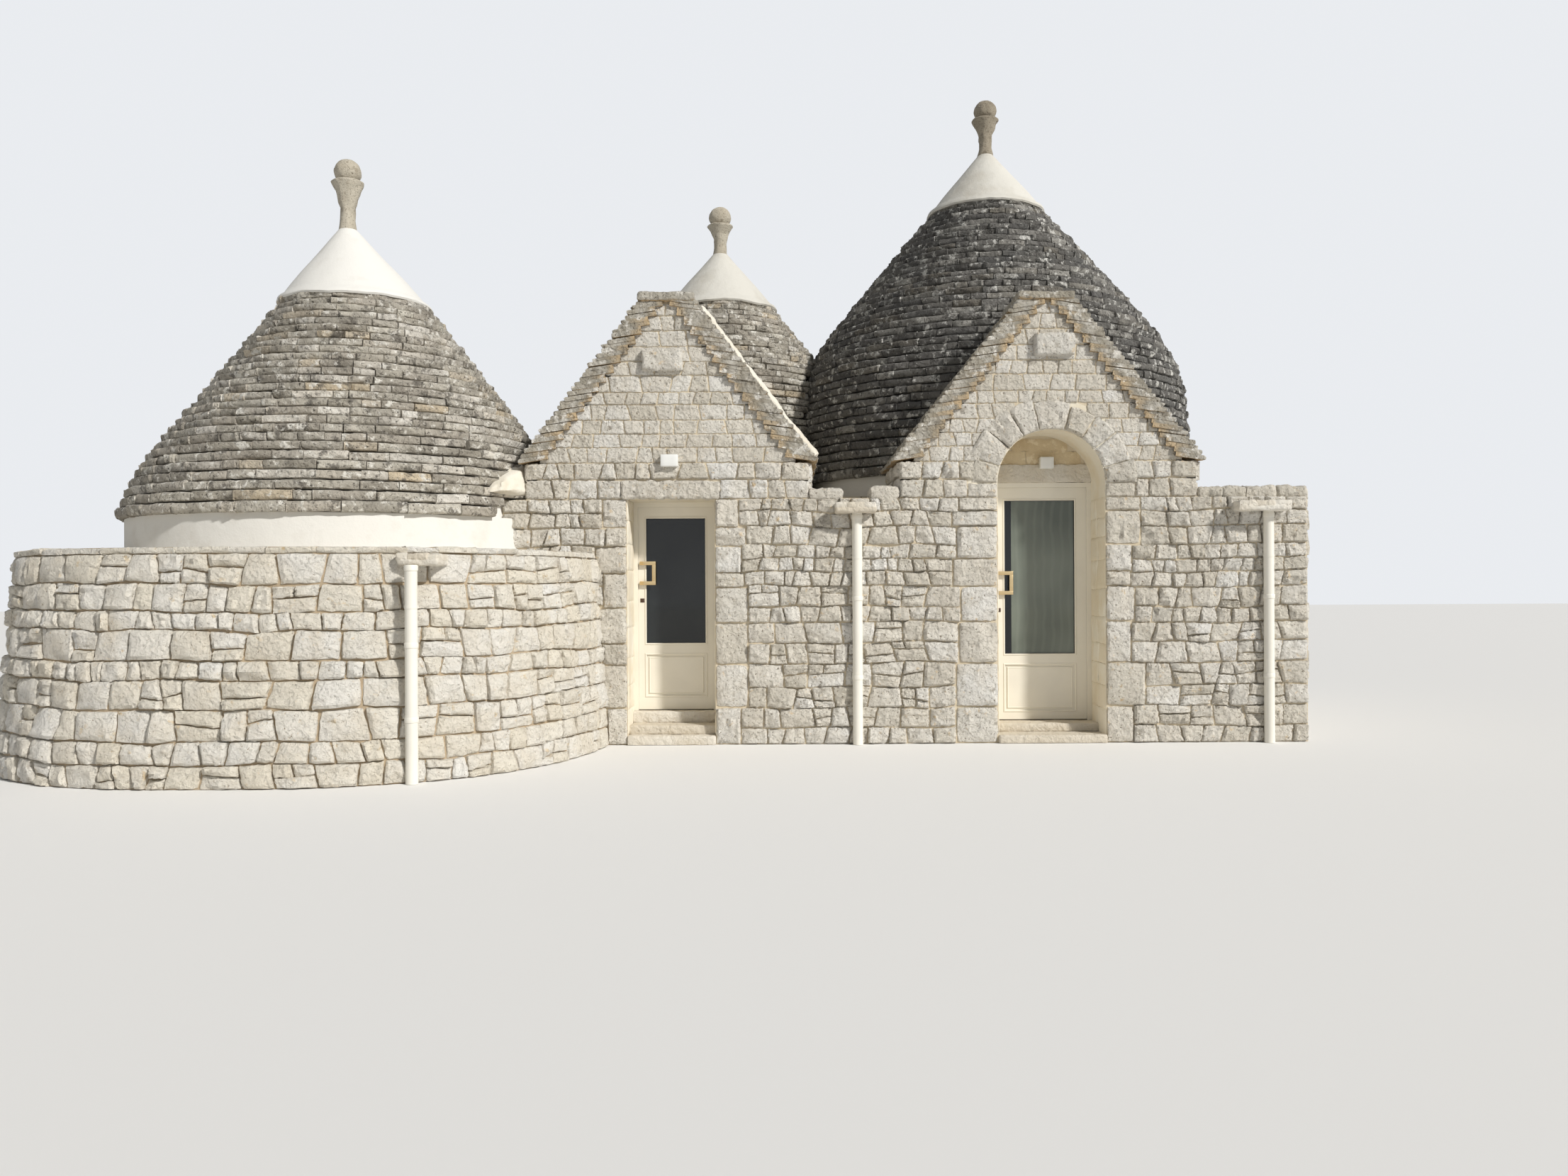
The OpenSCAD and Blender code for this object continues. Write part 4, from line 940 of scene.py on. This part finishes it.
def reveals():
    """Smooth jamb stones inside both doorways, limed over."""
    rng = rng_for("reveals")
    sets = []
    for x, side, deep, foot in ((LDOOR_X0, 1, LDOOR_Y, 0.1), (LDOOR_X1, -1, LDOOR_Y, 0.1),
                                (RDOOR_X0, 1, RDOOR_Y, 0.05), (RDOOR_X1, -1, RDOOR_Y, 0.05)):
        place = on_plane(x, FRONT_Y if side > 0 else deep, 0, side)
        cells = rubble_cells(rows(foot, WALL_H, rng, 0.2, 0.34), whole(deep - FRONT_Y), rng, JAMB,
                             (0.2, 0.3), 0.01)
        sets.append(stones(cells, place, rng, joint=0.0005, proud=(0.004, 0.008), rough=0.003,
                           grid=STONE_GRID, round_off=0.05, facets=0.1, sink=0.0))
    add_piece("door_reveal_stones", joined(sets), JAMB_PLASTER, "limestone")


def tympanum():
    """Plain old plaster over the right door inside the arch, and the stone lintel under it."""
    rng = rng_for("tympanum")
    low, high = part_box("right_door_lintel")

    def spans(z):
        half = math.sqrt(max(ARCH_R0 ** 2 - max(z - ARCH_Z, 0) ** 2, 0.0)) - 0.02
        return [(ARCH_X - half, ARCH_X + half)]

    levels = rows(high.z, ARCH_Z + ARCH_R0 - 0.03, rng, 0.14, 0.2)
    cells = rubble_cells(levels, spans, rng, SQUARED, (0.2, 0.36))
    plaster = stones(cells, on_plane(0, RDOOR_Y, 1, 0), rng, joint=0.0, proud=(0.005, 0.0052), rough=0.003,
                     grid=STONE_GRID, round_off=0.0, facets=0.0, sink=-0.005)
    add_piece("right_tympanum_stones", plaster, OLD_PLASTER, "limestone")
    beam = rough_box((RDOOR_X0 + 0.004, RDOOR_Y - 0.022, low.z - 0.003),
                     (RDOOR_X1 - 0.004, RDOOR_Y + 0.05, high.z), rng, 0.03, 0.012, 0.012, 0.07)
    add_piece("right_lintel_beam", beam, DRESSED_STONE, "limestone")


front_face()
lintel_stones()
arch_stones()
reveals()
tympanum()


# Low wall round the left cone

LOW_POWER = 2.6
LOW_LEAN = 0.14
LOW_HALF = 2.8
LOW_MEETS_X = -1.0
COPING_H = 0.05


def low_wall_outline():
    """The wall's foot line from the back round to the front wall, its centre and the outward directions."""
    front_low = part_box("left_wall_front")[0]
    back_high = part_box("left_wall_back")[1]
    half_depth = (back_high.y - front_low.y) / 2
    centre = np.array([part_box("left_wall_side")[0].x + LOW_HALF, (back_high.y + front_low.y) / 2])
    angle = np.radians(np.linspace(-309, -8, 460))
    x = centre[0] + LOW_HALF * np.sign(np.cos(angle)) * np.abs(np.cos(angle)) ** (2 / LOW_POWER)
    y = centre[1] + half_depth * np.sign(np.sin(angle)) * np.abs(np.sin(angle)) ** (2 / LOW_POWER)
    keep = ((y < FRONT_Y) | (x < BLOCK_X0)) & ~((x > LOW_MEETS_X) & (y > FRONT_Y))
    line = np.stack([x[keep], y[keep]], -1)
    tangent = np.gradient(line, axis=0)
    tangent /= np.linalg.norm(tangent, axis=1, keepdims=True)
    return line, centre, np.stack([tangent[:, 1], -tangent[:, 0]], -1)


def low_wall():
    """Battered rubble wall and the flat coping slabs along its top."""
    rng = rng_for("low_wall_stones")
    line, centre, outward = low_wall_outline()
    run = np.concatenate([[0], np.cumsum(np.hypot(*np.diff(line, axis=0).T))])

    def plan(u, v, h):
        along = np.stack([np.interp(u, run, line[:, k]) for k in (0, 1)], -1)
        normal = np.stack([np.interp(u, run, outward[:, k]) for k in (0, 1)], -1)
        share = 1 - LOW_LEAN / LOW_HALF * v / LOW_H
        return centre + (along - centre) * share[..., None] + normal * h[..., None], normal

    def place(u, v, h):
        return np.concatenate([plan(u, v, h)[0], v[..., None]], -1)

    levels = rows(0, LOW_H - COPING_H, rng, 0.14, 0.26)
    cells = rubble_cells(levels, whole(run[-1]), rng, RUBBLE, (0.15, 0.3), wave=0.035)
    wall = stones(cells, place, rng, proud=(0.018, 0.045), rough=0.023, grid=STONE_GRID)
    add_piece("low_wall_stones", wall, LOW_STONE, "limestone", sharp=CRISP)
    edges = [0]
    while edges[-1] < run[-1] - 0.2:
        edges.append(edges[-1] + rng.uniform(0.24, 0.5))
    edges = np.array(edges) * run[-1] / edges[-1]
    mid, length = (edges[1:] + edges[:-1]) / 2, np.diff(edges)
    at, normal = plan(mid, np.full(len(mid), LOW_H), np.full(len(mid), 0.022))
    out = np.concatenate([normal, np.zeros((len(mid), 1))], 1)
    along = np.stack([-out[:, 1], out[:, 0], out[:, 2]], -1)
    front = np.concatenate([at, np.full((len(mid), 1), LOW_H - COPING_H)], 1)
    coping = slabs(front, along, out, length - 0.004, 0.3, COPING_H, rng)
    add_piece("low_wall_coping", coping, LOW_STONE, "limestone")


low_wall()


# Unseen walls: the same rubble, laid plainly

BACK_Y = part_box("right_wall_back")[1].y
MID_BACK_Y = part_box("middle_wall_back")[1].y
BACK_X0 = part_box("right_wall_back")[0].x
FLANK_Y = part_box("left_wall_flank")[1].y - 0.9


def plain_wall(name, start, end, z0, z1):
    """Rubble on a flat wall that runs from start to end and faces to the right of that way."""
    rng = rng_for(name)
    run = np.subtract(end, start)
    width = np.abs(run).sum()
    cells = rubble_cells(rows(z0, z1, rng), whole(width), rng, RUBBLE, (0.2, 0.4))
    wall = stones(cells, on_plane(*start, *(run / width)), rng, proud=(0.016, 0.036), rough=0.014,
                  grid=COARSE_GRID)
    add_piece(name, wall, WALL_STONE, "limestone")


plain_wall("right_side_stones", (FRONT_X1, FRONT_Y), (FRONT_X1, BACK_Y), 0, WALL_H + 0.1)
plain_wall("back_stones", (FRONT_X1, BACK_Y), (BACK_X0, BACK_Y), 0, TERRACE_Z)
plain_wall("back_step_stones", (BACK_X0, BACK_Y), (BACK_X0, MID_BACK_Y), 0, TERRACE_Z)
plain_wall("middle_back_stones", (BACK_X0, MID_BACK_Y), (BLOCK_X0, MID_BACK_Y), 0, TERRACE_Z)
plain_wall("middle_side_stones", (BLOCK_X0, MID_BACK_Y), (BLOCK_X0, FLANK_Y), 0, TERRACE_Z)
plain_wall("middle_flank_stones", (BLOCK_X0, FLANK_Y), (BLOCK_X0, FRONT_IN), LOW_H, TERRACE_Z)
plain_wall("front_end_stones", (FRONT_X0, FRONT_IN), (FRONT_X0, FRONT_Y), LOW_H, WALL_H)
for each in ("left", "right"):
    west, east = (corner.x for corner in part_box(each + "_gable_wall"))
    end_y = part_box(each + "_gable_wall")[1].y
    plain_wall(each + "_gable_west_stones", (west, end_y), (west, FRONT_Y), WALL_H, GABLE_EAVES_Z)
    plain_wall(each + "_gable_east_stones", (east, FRONT_Y), (east, end_y), WALL_H, GABLE_EAVES_Z)


# Gable roofs

SLAB_DROOP = 0.15
OCHRE_END = 0.03


def gable_roof(side, cone):
    """Corbelled slabs of both slopes, two to a step and ochre at their inner ends, up to the cone behind."""
    name = side + "_gable_slabs"
    node = side + "_gable_roof"
    rng = rng_for(name)
    low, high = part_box(node)
    axis = CONES[cone][0]
    x_mid = (low.x + high.x) / 2
    thick = (RIDGE_Z - GABLE_EAVES_Z) / GABLE_COURSES / 2
    ends = []
    for way in (-1, 1):
        out = (way * math.cos(SLAB_DROOP), 0, -math.sin(SLAB_DROOP))
        up = (way * math.sin(SLAB_DROOP), 0, math.cos(SLAB_DROOP))
        for i in range(GABLE_COURSES * 2):
            z = GABLE_EAVES_Z + thick * i
            outer = float(gable_outer(z + thick / 2, side)) + 0.012 + rng.uniform(-0.012, 0.012)
            step_z = GABLE_EAVES_Z + 2 * thick * (i // 2)
            reach = outer - float(gable_outer(step_z, side)) + GABLE_SLAB + 0.03
            radius = float(radius_at(cone, z))
            across = abs(x_mid + way * outer - axis.x)
            stop = axis.y - math.sqrt(max(radius ** 2 - across ** 2, 0)) if across < radius else high.y
            stop = min(stop, high.y) + 0.05
            y = low.y + rng.uniform(0, 0.015)
            while y < stop:
                length = rng.uniform(0.24, 0.46)
                ends.append(((x_mid + way * outer, y + length / 2, z), out, up, (0, way, 0), length - 0.008,
                             reach * rng.uniform(0.97, 1.04), thick * rng.uniform(0.84, 0.97)))
                y += length
    centre, out, up, along, length, depth, height = (np.array(column) for column in zip(*ends))
    points, faces, tone = slabs(centre, along, out, length, depth, height, rng, up, chip=0.008)
    from_middle = np.abs(points[:, 0] - x_mid).reshape(len(ends), -1)
    inner_end = from_middle < (np.abs(centre[:, 0] - x_mid) - depth)[:, None] + OCHRE_END
    tone = np.where(inner_end.ravel(), 1.0, 0.8 * tone)
    add_piece(name, (points, faces, tone), VERGE_SLAB, "roof_stone", (node,))


gable_roof("left", "middle")
gable_roof("right", "right")


# Ridges, parapets, spouts, steps and fittings

# Front, back, foot and top of each tread, from the wall's face and the ground, for the left and right steps
TREADS = (((-0.05, 0.42, 0.0, 0.088), (0.08, 0.42, 0.09, 0.178), (0.33, 0.48, 0.18, 0.29)),
          ((-0.05, 0.5, 0.0, 0.078), (0.25, 0.54, 0.08, 0.16)))
TROUGH, LIP = 0.156, 0.06
PIPE_R = 0.05
# Growth of a collar over the pipe, and height over its foot
COLLAR = ((-0.002, 0), (0.005, 0.003), (0.006, 0.04), (0.003, 0.045), (-0.002, 0.046))
# Where the lime patch starts on the left cone and how far it runs, in degrees
PATCH_FROM, PATCH_RUN = -19, -17
BEAD_BACK = 0.40


def ridge_and_blocks():
    """Ridge stones of both gables, and the rough block that stands out of each face."""
    rng = rng_for("gable_stones")
    ridges, blocks = [], []
    for low, high in solids("gable_stones"):
        if high[2] < RIDGE_Z:
            blocks.append(rough_box(low - [0, 0.01, 0], high, rng, 0.03, 0.022, 0.017))
            continue
        y = low[1]
        while y < high[1] - 0.05:
            length = min(rng.uniform(0.3, 0.5), high[1] - y)
            nudge = rng.uniform(-0.02, 0.02)
            top = high[2] - rng.uniform(0, 0.02)
            ridges.append(rough_box((low[0] + nudge, y, low[2] + 0.004),
                                    (high[0] + nudge, y + length - 0.008, top), rng, 0.035, 0.014, 0.014))
            y += length
    add_piece("gable_ridge_stones", joined(ridges), VERGE_STONE, "limestone", ("gable_stones",), sharp=45)
    add_piece("gable_blocks", joined(blocks), WALL_STONE, "limestone", ("gable_stones",), sharp=45)


def parapet_blocks(rng):
    """Rough blocks along the top of the front wall."""
    for low, high in solids("parapet"):
        x = low[0]
        while x < high[0] - 0.02:
            length = rng.uniform(0.2, 0.42)
            length = high[0] - x if high[0] - x - length < 0.14 else length
            front = low[1] - rng.uniform(0.01, 0.03)
            back = high[1] - rng.uniform(0, 0.03)
            top = high[2] - rng.uniform(0, 0.025)
            yield rough_box((x + 0.004, front, low[2] - 0.01), (x + length - 0.004, back, top),
                            rng, 0.035, 0.02, 0.022)
            x += length


def spout_slabs(rng):
    """Hollowed slabs: a floor with raised lips round the trough."""
    for low, high in solids("spouts"):
        half_z = (low[2] + high[2]) / 2
        left = (low[0] + high[0]) / 2 - TROUGH / 2
        right = (low[0] + high[0]) / 2 + TROUGH / 2
        face = FRONT_Y if low[0] > FRONT_X0 else high[1] - 0.26
        yield rough_box(low, (high[0], high[1], half_z + 0.006), rng, 0.035, 0.014, 0.014, 0.08)
        for x0, x1, y0, y1 in ((low[0], left, low[1], high[1]), (right, high[0], low[1], high[1]),
                               (left - 0.01, right + 0.01, low[1], low[1] + LIP),
                               (left - 0.01, right + 0.01, face + 0.002, high[1])):
            yield rough_box((x0, y0, half_z - 0.012), (x1, y1, high[2]), rng, 0.035, 0.012, 0.012, 0.08)


def step_stones(rng):
    """Worn steps up to both doors."""
    for (low, high), treads in zip(solids("doorsteps"), TREADS):
        for y0, y1, z0, z1 in treads:
            yield rough_box((low[0] + 0.003, FRONT_Y + y0, z0), (high[0] - 0.003, FRONT_Y + y1, z1),
                            rng, 0.06, 0.012, 0.006, 0.12)


def lamp_boxes(rng):
    """Box lamps: a rounded body on a thin wall plate."""
    for low, high in solids("lamps"):
        yield rough_box(low, high - [0, 0.012, 0], rng, 0.04, 0.007, 0.0)
        yield rough_box(low + [0.012, high[1] - low[1] - 0.014, 0.012], high - [0.012, 0, 0.012],
                        rng, 0.05, 0.002, 0.0)


def pipe_collars(rng):
    """Socket rings on the downpipes, at the top and over each clip."""
    for low, high in solids("downpipes"):
        at = ((low[0] + high[0]) / 2, low[1] + PIPE_R + 0.003)
        for share in (0.28, 0.62, 0.972):
            rings = [(PIPE_R + grow, min(high[2] * share + rise, high[2] - 0.001)) for grow, rise in COLLAR]
            yield turned(at, rings, 40, rng)


def lime_patch(rng, across=26, up=16):
    """Lime smeared over the left cone's lowest slabs where they meet the front wall."""
    axis = CONES["left"][0]
    u, v = np.meshgrid(np.linspace(0, 1, across), np.linspace(0, 1, up))
    angle = np.radians(PATCH_FROM + PATCH_RUN * u)
    foot = WALL_H + 0.02 + 0.03 * u
    ragged = 0.05 * (lattice_noise(np.stack([u * 7, u * 0, u * 0], -1), 9) - 0.5)
    z = foot + v * (0.36 * (1 - u) ** 0.8 + 0.02 + ragged)
    rim = np.minimum(np.minimum(v, 1 - v) * 5, np.minimum(u + 0.6, (1 - u) * 5))
    rim = np.clip(rim, 0, 1)
    proud = -0.05 + 0.085 * rim ** 0.6
    radius = radius_at("left", z) + proud + 0.02
    x = axis.x + lean_at("left", z) + radius * np.cos(angle)
    spot = np.stack([x, axis.y + radius * np.sin(angle), z], -1)
    spot[..., 1] -= 0.045 * hewn(spot, 0.12, int(rng.integers(1 << 20))) * rim
    points = spot.reshape(-1, 3)
    return points, grid_quads(up, across)[:, ::-1], np.full(len(points), 0.5)


def lime_seams():
    """Lime bead along the left gable's right slope, behind its verge, and the patch beside the left cone."""
    rng = rng_for("lime_seams")
    z = np.linspace(GABLE_EAVES_Z + 0.06, RIDGE_Z + 0.02, 90)
    x = middle("left_gable_roof").x + gable_outer(z, "left") + 0.035
    path = np.stack([x, 0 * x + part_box("left_gable_roof")[0].y + BEAD_BACK, z + 0.01], -1)
    size = 0.095 + 0.05 * (lattice_noise(path * 4, 3) - 0.5) + 0.03 * (lattice_noise(path * 11, 5) - 0.5)
    size[[0, -1]] = 0.02
    seam = bead(path, size, 14, rng, 0.02, 0.5)
    add_piece("lime_seams", joined([seam, lime_patch(rng)]), LIME_EDGE, "lime", sharp=60)


ridge_and_blocks()
for name, make, material, slot, replaces, sharp in (
        ("parapet_blocks", parapet_blocks, WALL_STONE, "limestone", ("parapet",), 45),
        ("spout_slabs", spout_slabs, DRESSED_STONE, "limestone", ("spouts",), 45),
        ("step_stones", step_stones, DRESSED_STONE, "limestone", ("doorsteps",), 45),
        ("lamp_boxes", lamp_boxes, LAMP_PLASTIC, "lamp_white", ("lamps",), 50),
        ("pipe_collars", pipe_collars, PIPE_PAINT, "pipe_cream", (), 38)):
    add_piece(name, joined(make(rng_for(name))), material, slot, replaces, sharp=sharp)
lime_seams()


# Doors: beads, gaskets, panel mouldings, pulls and lock plates on the leaves

# Profiles as (inward, towards the viewer) pairs
BEAD = ((-0.004, -0.002), (-0.004, 0.003), (0.002, 0.006), (0.010, 0.006), (0.014, 0.001), (0.014, -0.012))
FIELD = ((0.0, -0.012), (0.002, 0.001), (0.006, 0.003), (0.011, 0.003), (0.016, -0.003), (0.02, -0.012))
RUBBER = ((0.0135, 0.0), (0.0135, 0.0012), (0.018, 0.0012), (0.018, -0.014))
# Foot and top of each leaf's panel
PANELS = {"left": (0.430, 0.878), "right": (0.250, 0.750)}
PANEL_IN = 0.035
BAR, BAR_THICK = 0.038, 0.012
LOCK_HALF = 0.021
LOCK_RINGS = ((0.009, 0.004), (0.009, -0.006), (0.0075, -0.0075), (0.0005, -0.0075))


def door_trim(side):
    """Glazing bead and panel mouldings, riding on the leaf, with the dark gasket round the pane."""
    body = side + "_door"
    low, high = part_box(side + "_door_glass")
    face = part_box(side + "_door_leaf")[0].y
    z0, z1 = PANELS[side]
    beads = joined([picture_frame(low.x, high.x, low.z, high.z, face, BEAD),
                    picture_frame(low.x, high.x, z0, z1, face, BEAD),
                    picture_frame(low.x + PANEL_IN, high.x - PANEL_IN, z0 + PANEL_IN, z1 - PANEL_IN,
                                  face + 0.006, FIELD)])
    add_piece(side + "_door_beads", beads, DOOR_PAINT, "painted_wood", body=body, sharp=25)
    gasket = picture_frame(low.x, high.x, low.z, high.z, face, RUBBER)
    add_piece(side + "_door_gasket", gasket, GASKET, "door_glass", body=body, sharp=25)


def door_pull(side):
    """Square pull of flat bar on two stand-offs, and the lock plate with its cylinder under it."""
    body = side + "_door"
    rng = rng_for(side + "_door_pull")
    node = side + "_door_handle"
    low, high = max(solids(node), key=lambda b: b[1][2] - b[0][2])
    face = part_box(side + "_door_leaf")[0].y
    x0, y0, z0 = low
    x1, y1, z1 = high[0], low[1] + BAR_THICK, high[2]
    sets = [rough_box((x0, y0, z1 - BAR), (x1, y1, z1), rng, 0.05, 0.0015, 0.0),
            rough_box((x0, y0, z0), (x1, y1, z0 + BAR), rng, 0.05, 0.0015, 0.0),
            rough_box((x1 - BAR, y0 + 0.0002, z0 + BAR - 0.004), (x1, y1 - 0.0002, z1 - BAR + 0.004),
                      rng, 0.05, 0.0015, 0.0)]
    for z in (z0, z1 - BAR):
        sets.append(rough_box((x0, y1 - 0.003, z + 0.006), (x0 + 0.03, face + 0.004, z + BAR - 0.006),
                              rng, 0.03, 0.003, 0.0))
    add_piece(side + "_door_pull", joined(sets), WARM_STEEL, "steel_handle", (node,), body, 30)
    x = x0 + 0.022
    z = z0 - 0.16
    plate = rough_box((x - LOCK_HALF, face - 0.004, z - LOCK_HALF),
                      (x + LOCK_HALF, face + 0.004, z + LOCK_HALF), rng, 0.03, 0.002, 0.0)
    points, faces, tone = turned((x, 0), LOCK_RINGS, 20, rng)
    points = np.stack([points[:, 0], face + points[:, 2], z + points[:, 1]], -1)
    lock = joined([plate, (points, faces[:, ::-1], tone)])
    add_piece(side + "_door_lock_plate", lock, BRONZE, "steel_handle", body=body, sharp=30)


for each in ("left", "right"):
    door_trim(each)
    door_pull(each)


# CAD nodes that stay get their finish, and mortar where none is named

FINISH = (
    (JOINT_EARTH, "left_wall_front left_wall_corner left_wall_side left_wall_back left_wall_flank"),
    (LIME, "left_dome middle_dome right_dome"),
    (PAVING, "terrace floors"),
    (JAMB_PLASTER, "left_door_lintel right_door_lintel right_arch"),
    (DOOR_PAINT, "door_frames left_door_leaf right_door_leaf"),
    (LEFT_GLASS, "left_door_glass"),
    (RIGHT_GLASS, "right_door_glass"),
    (PIPE_PAINT, "downpipes"),
)
FINISH_OF = {name: material for material, names in FINISH for name in names.split()}
for node, cad_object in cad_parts.items():
    cad_object.data.materials.clear()
    cad_object.data.materials.append(FINISH_OF.get(node, MORTAR))


# Stage, light and camera

def stage():
    """Pale floor that the house stands on."""
    material, bsdf = new_material("studio_floor")[:2]
    plug(bsdf, {"Base Color": (0.86, 0.85, 0.83, 1), "Roughness": 0.9})
    bpy.ops.mesh.primitive_plane_add(size=160, location=(0, 0, -0.002))
    floor = bpy.context.object
    floor.name = "studio_floor"
    floor.data.materials.append(material)


def lights():
    """Soft sky, one wide sun, and a pale background that only the camera, gloss and glass see."""
    world = bpy.data.worlds.new("studio")
    world.use_nodes = True
    nodes = world.node_tree.nodes
    sky = nodes["Background"]
    plug(sky, {"Color": (0.93, 0.96, 1.0, 1), "Strength": 0.27})
    seen = add_node(sky, "Background", {"Color": (0.82, 0.84, 0.87, 1)})
    rays = add_node(sky, "LightPath", {}).outputs
    total = rays["Is Camera Ray"]
    for kind in ("Is Glossy Ray", "Is Transmission Ray"):
        total = add_node(sky, "Math", {0: total, 1: rays[kind]}, operation="MAXIMUM").outputs[0]
    blend = add_node(sky, "MixShader", {0: total, 1: sky.outputs[0], 2: seen.outputs[0]})
    plug(nodes["World Output"], {"Surface": blend.outputs[0]})
    scene.world = world
    sun = bpy.data.lights.new("key", "SUN")
    sun.energy = 3.3
    sun.angle = math.radians(4)
    sun.color = (1.0, 0.98, 0.945)
    key = bpy.data.objects.new("key", sun)
    key.rotation_euler = (math.radians(56), 0, math.radians(50))
    scene.collection.objects.link(key)


def camera():
    """The photograph's camera."""
    data = bpy.data.cameras.new("photo_view")
    data.sensor_width = 36
    data.lens = FOCAL_PX / PHOTO_W * data.sensor_width
    data.clip_end = 200
    view = bpy.data.objects.new("photo_view", data)
    view.location = CAMERA_AT
    view.rotation_euler = (math.radians(90), CAMERA_ROLL, 0)
    scene.collection.objects.link(view)
    scene.camera = view


stage()
lights()
camera()
scene.view_settings.view_transform = "Standard"
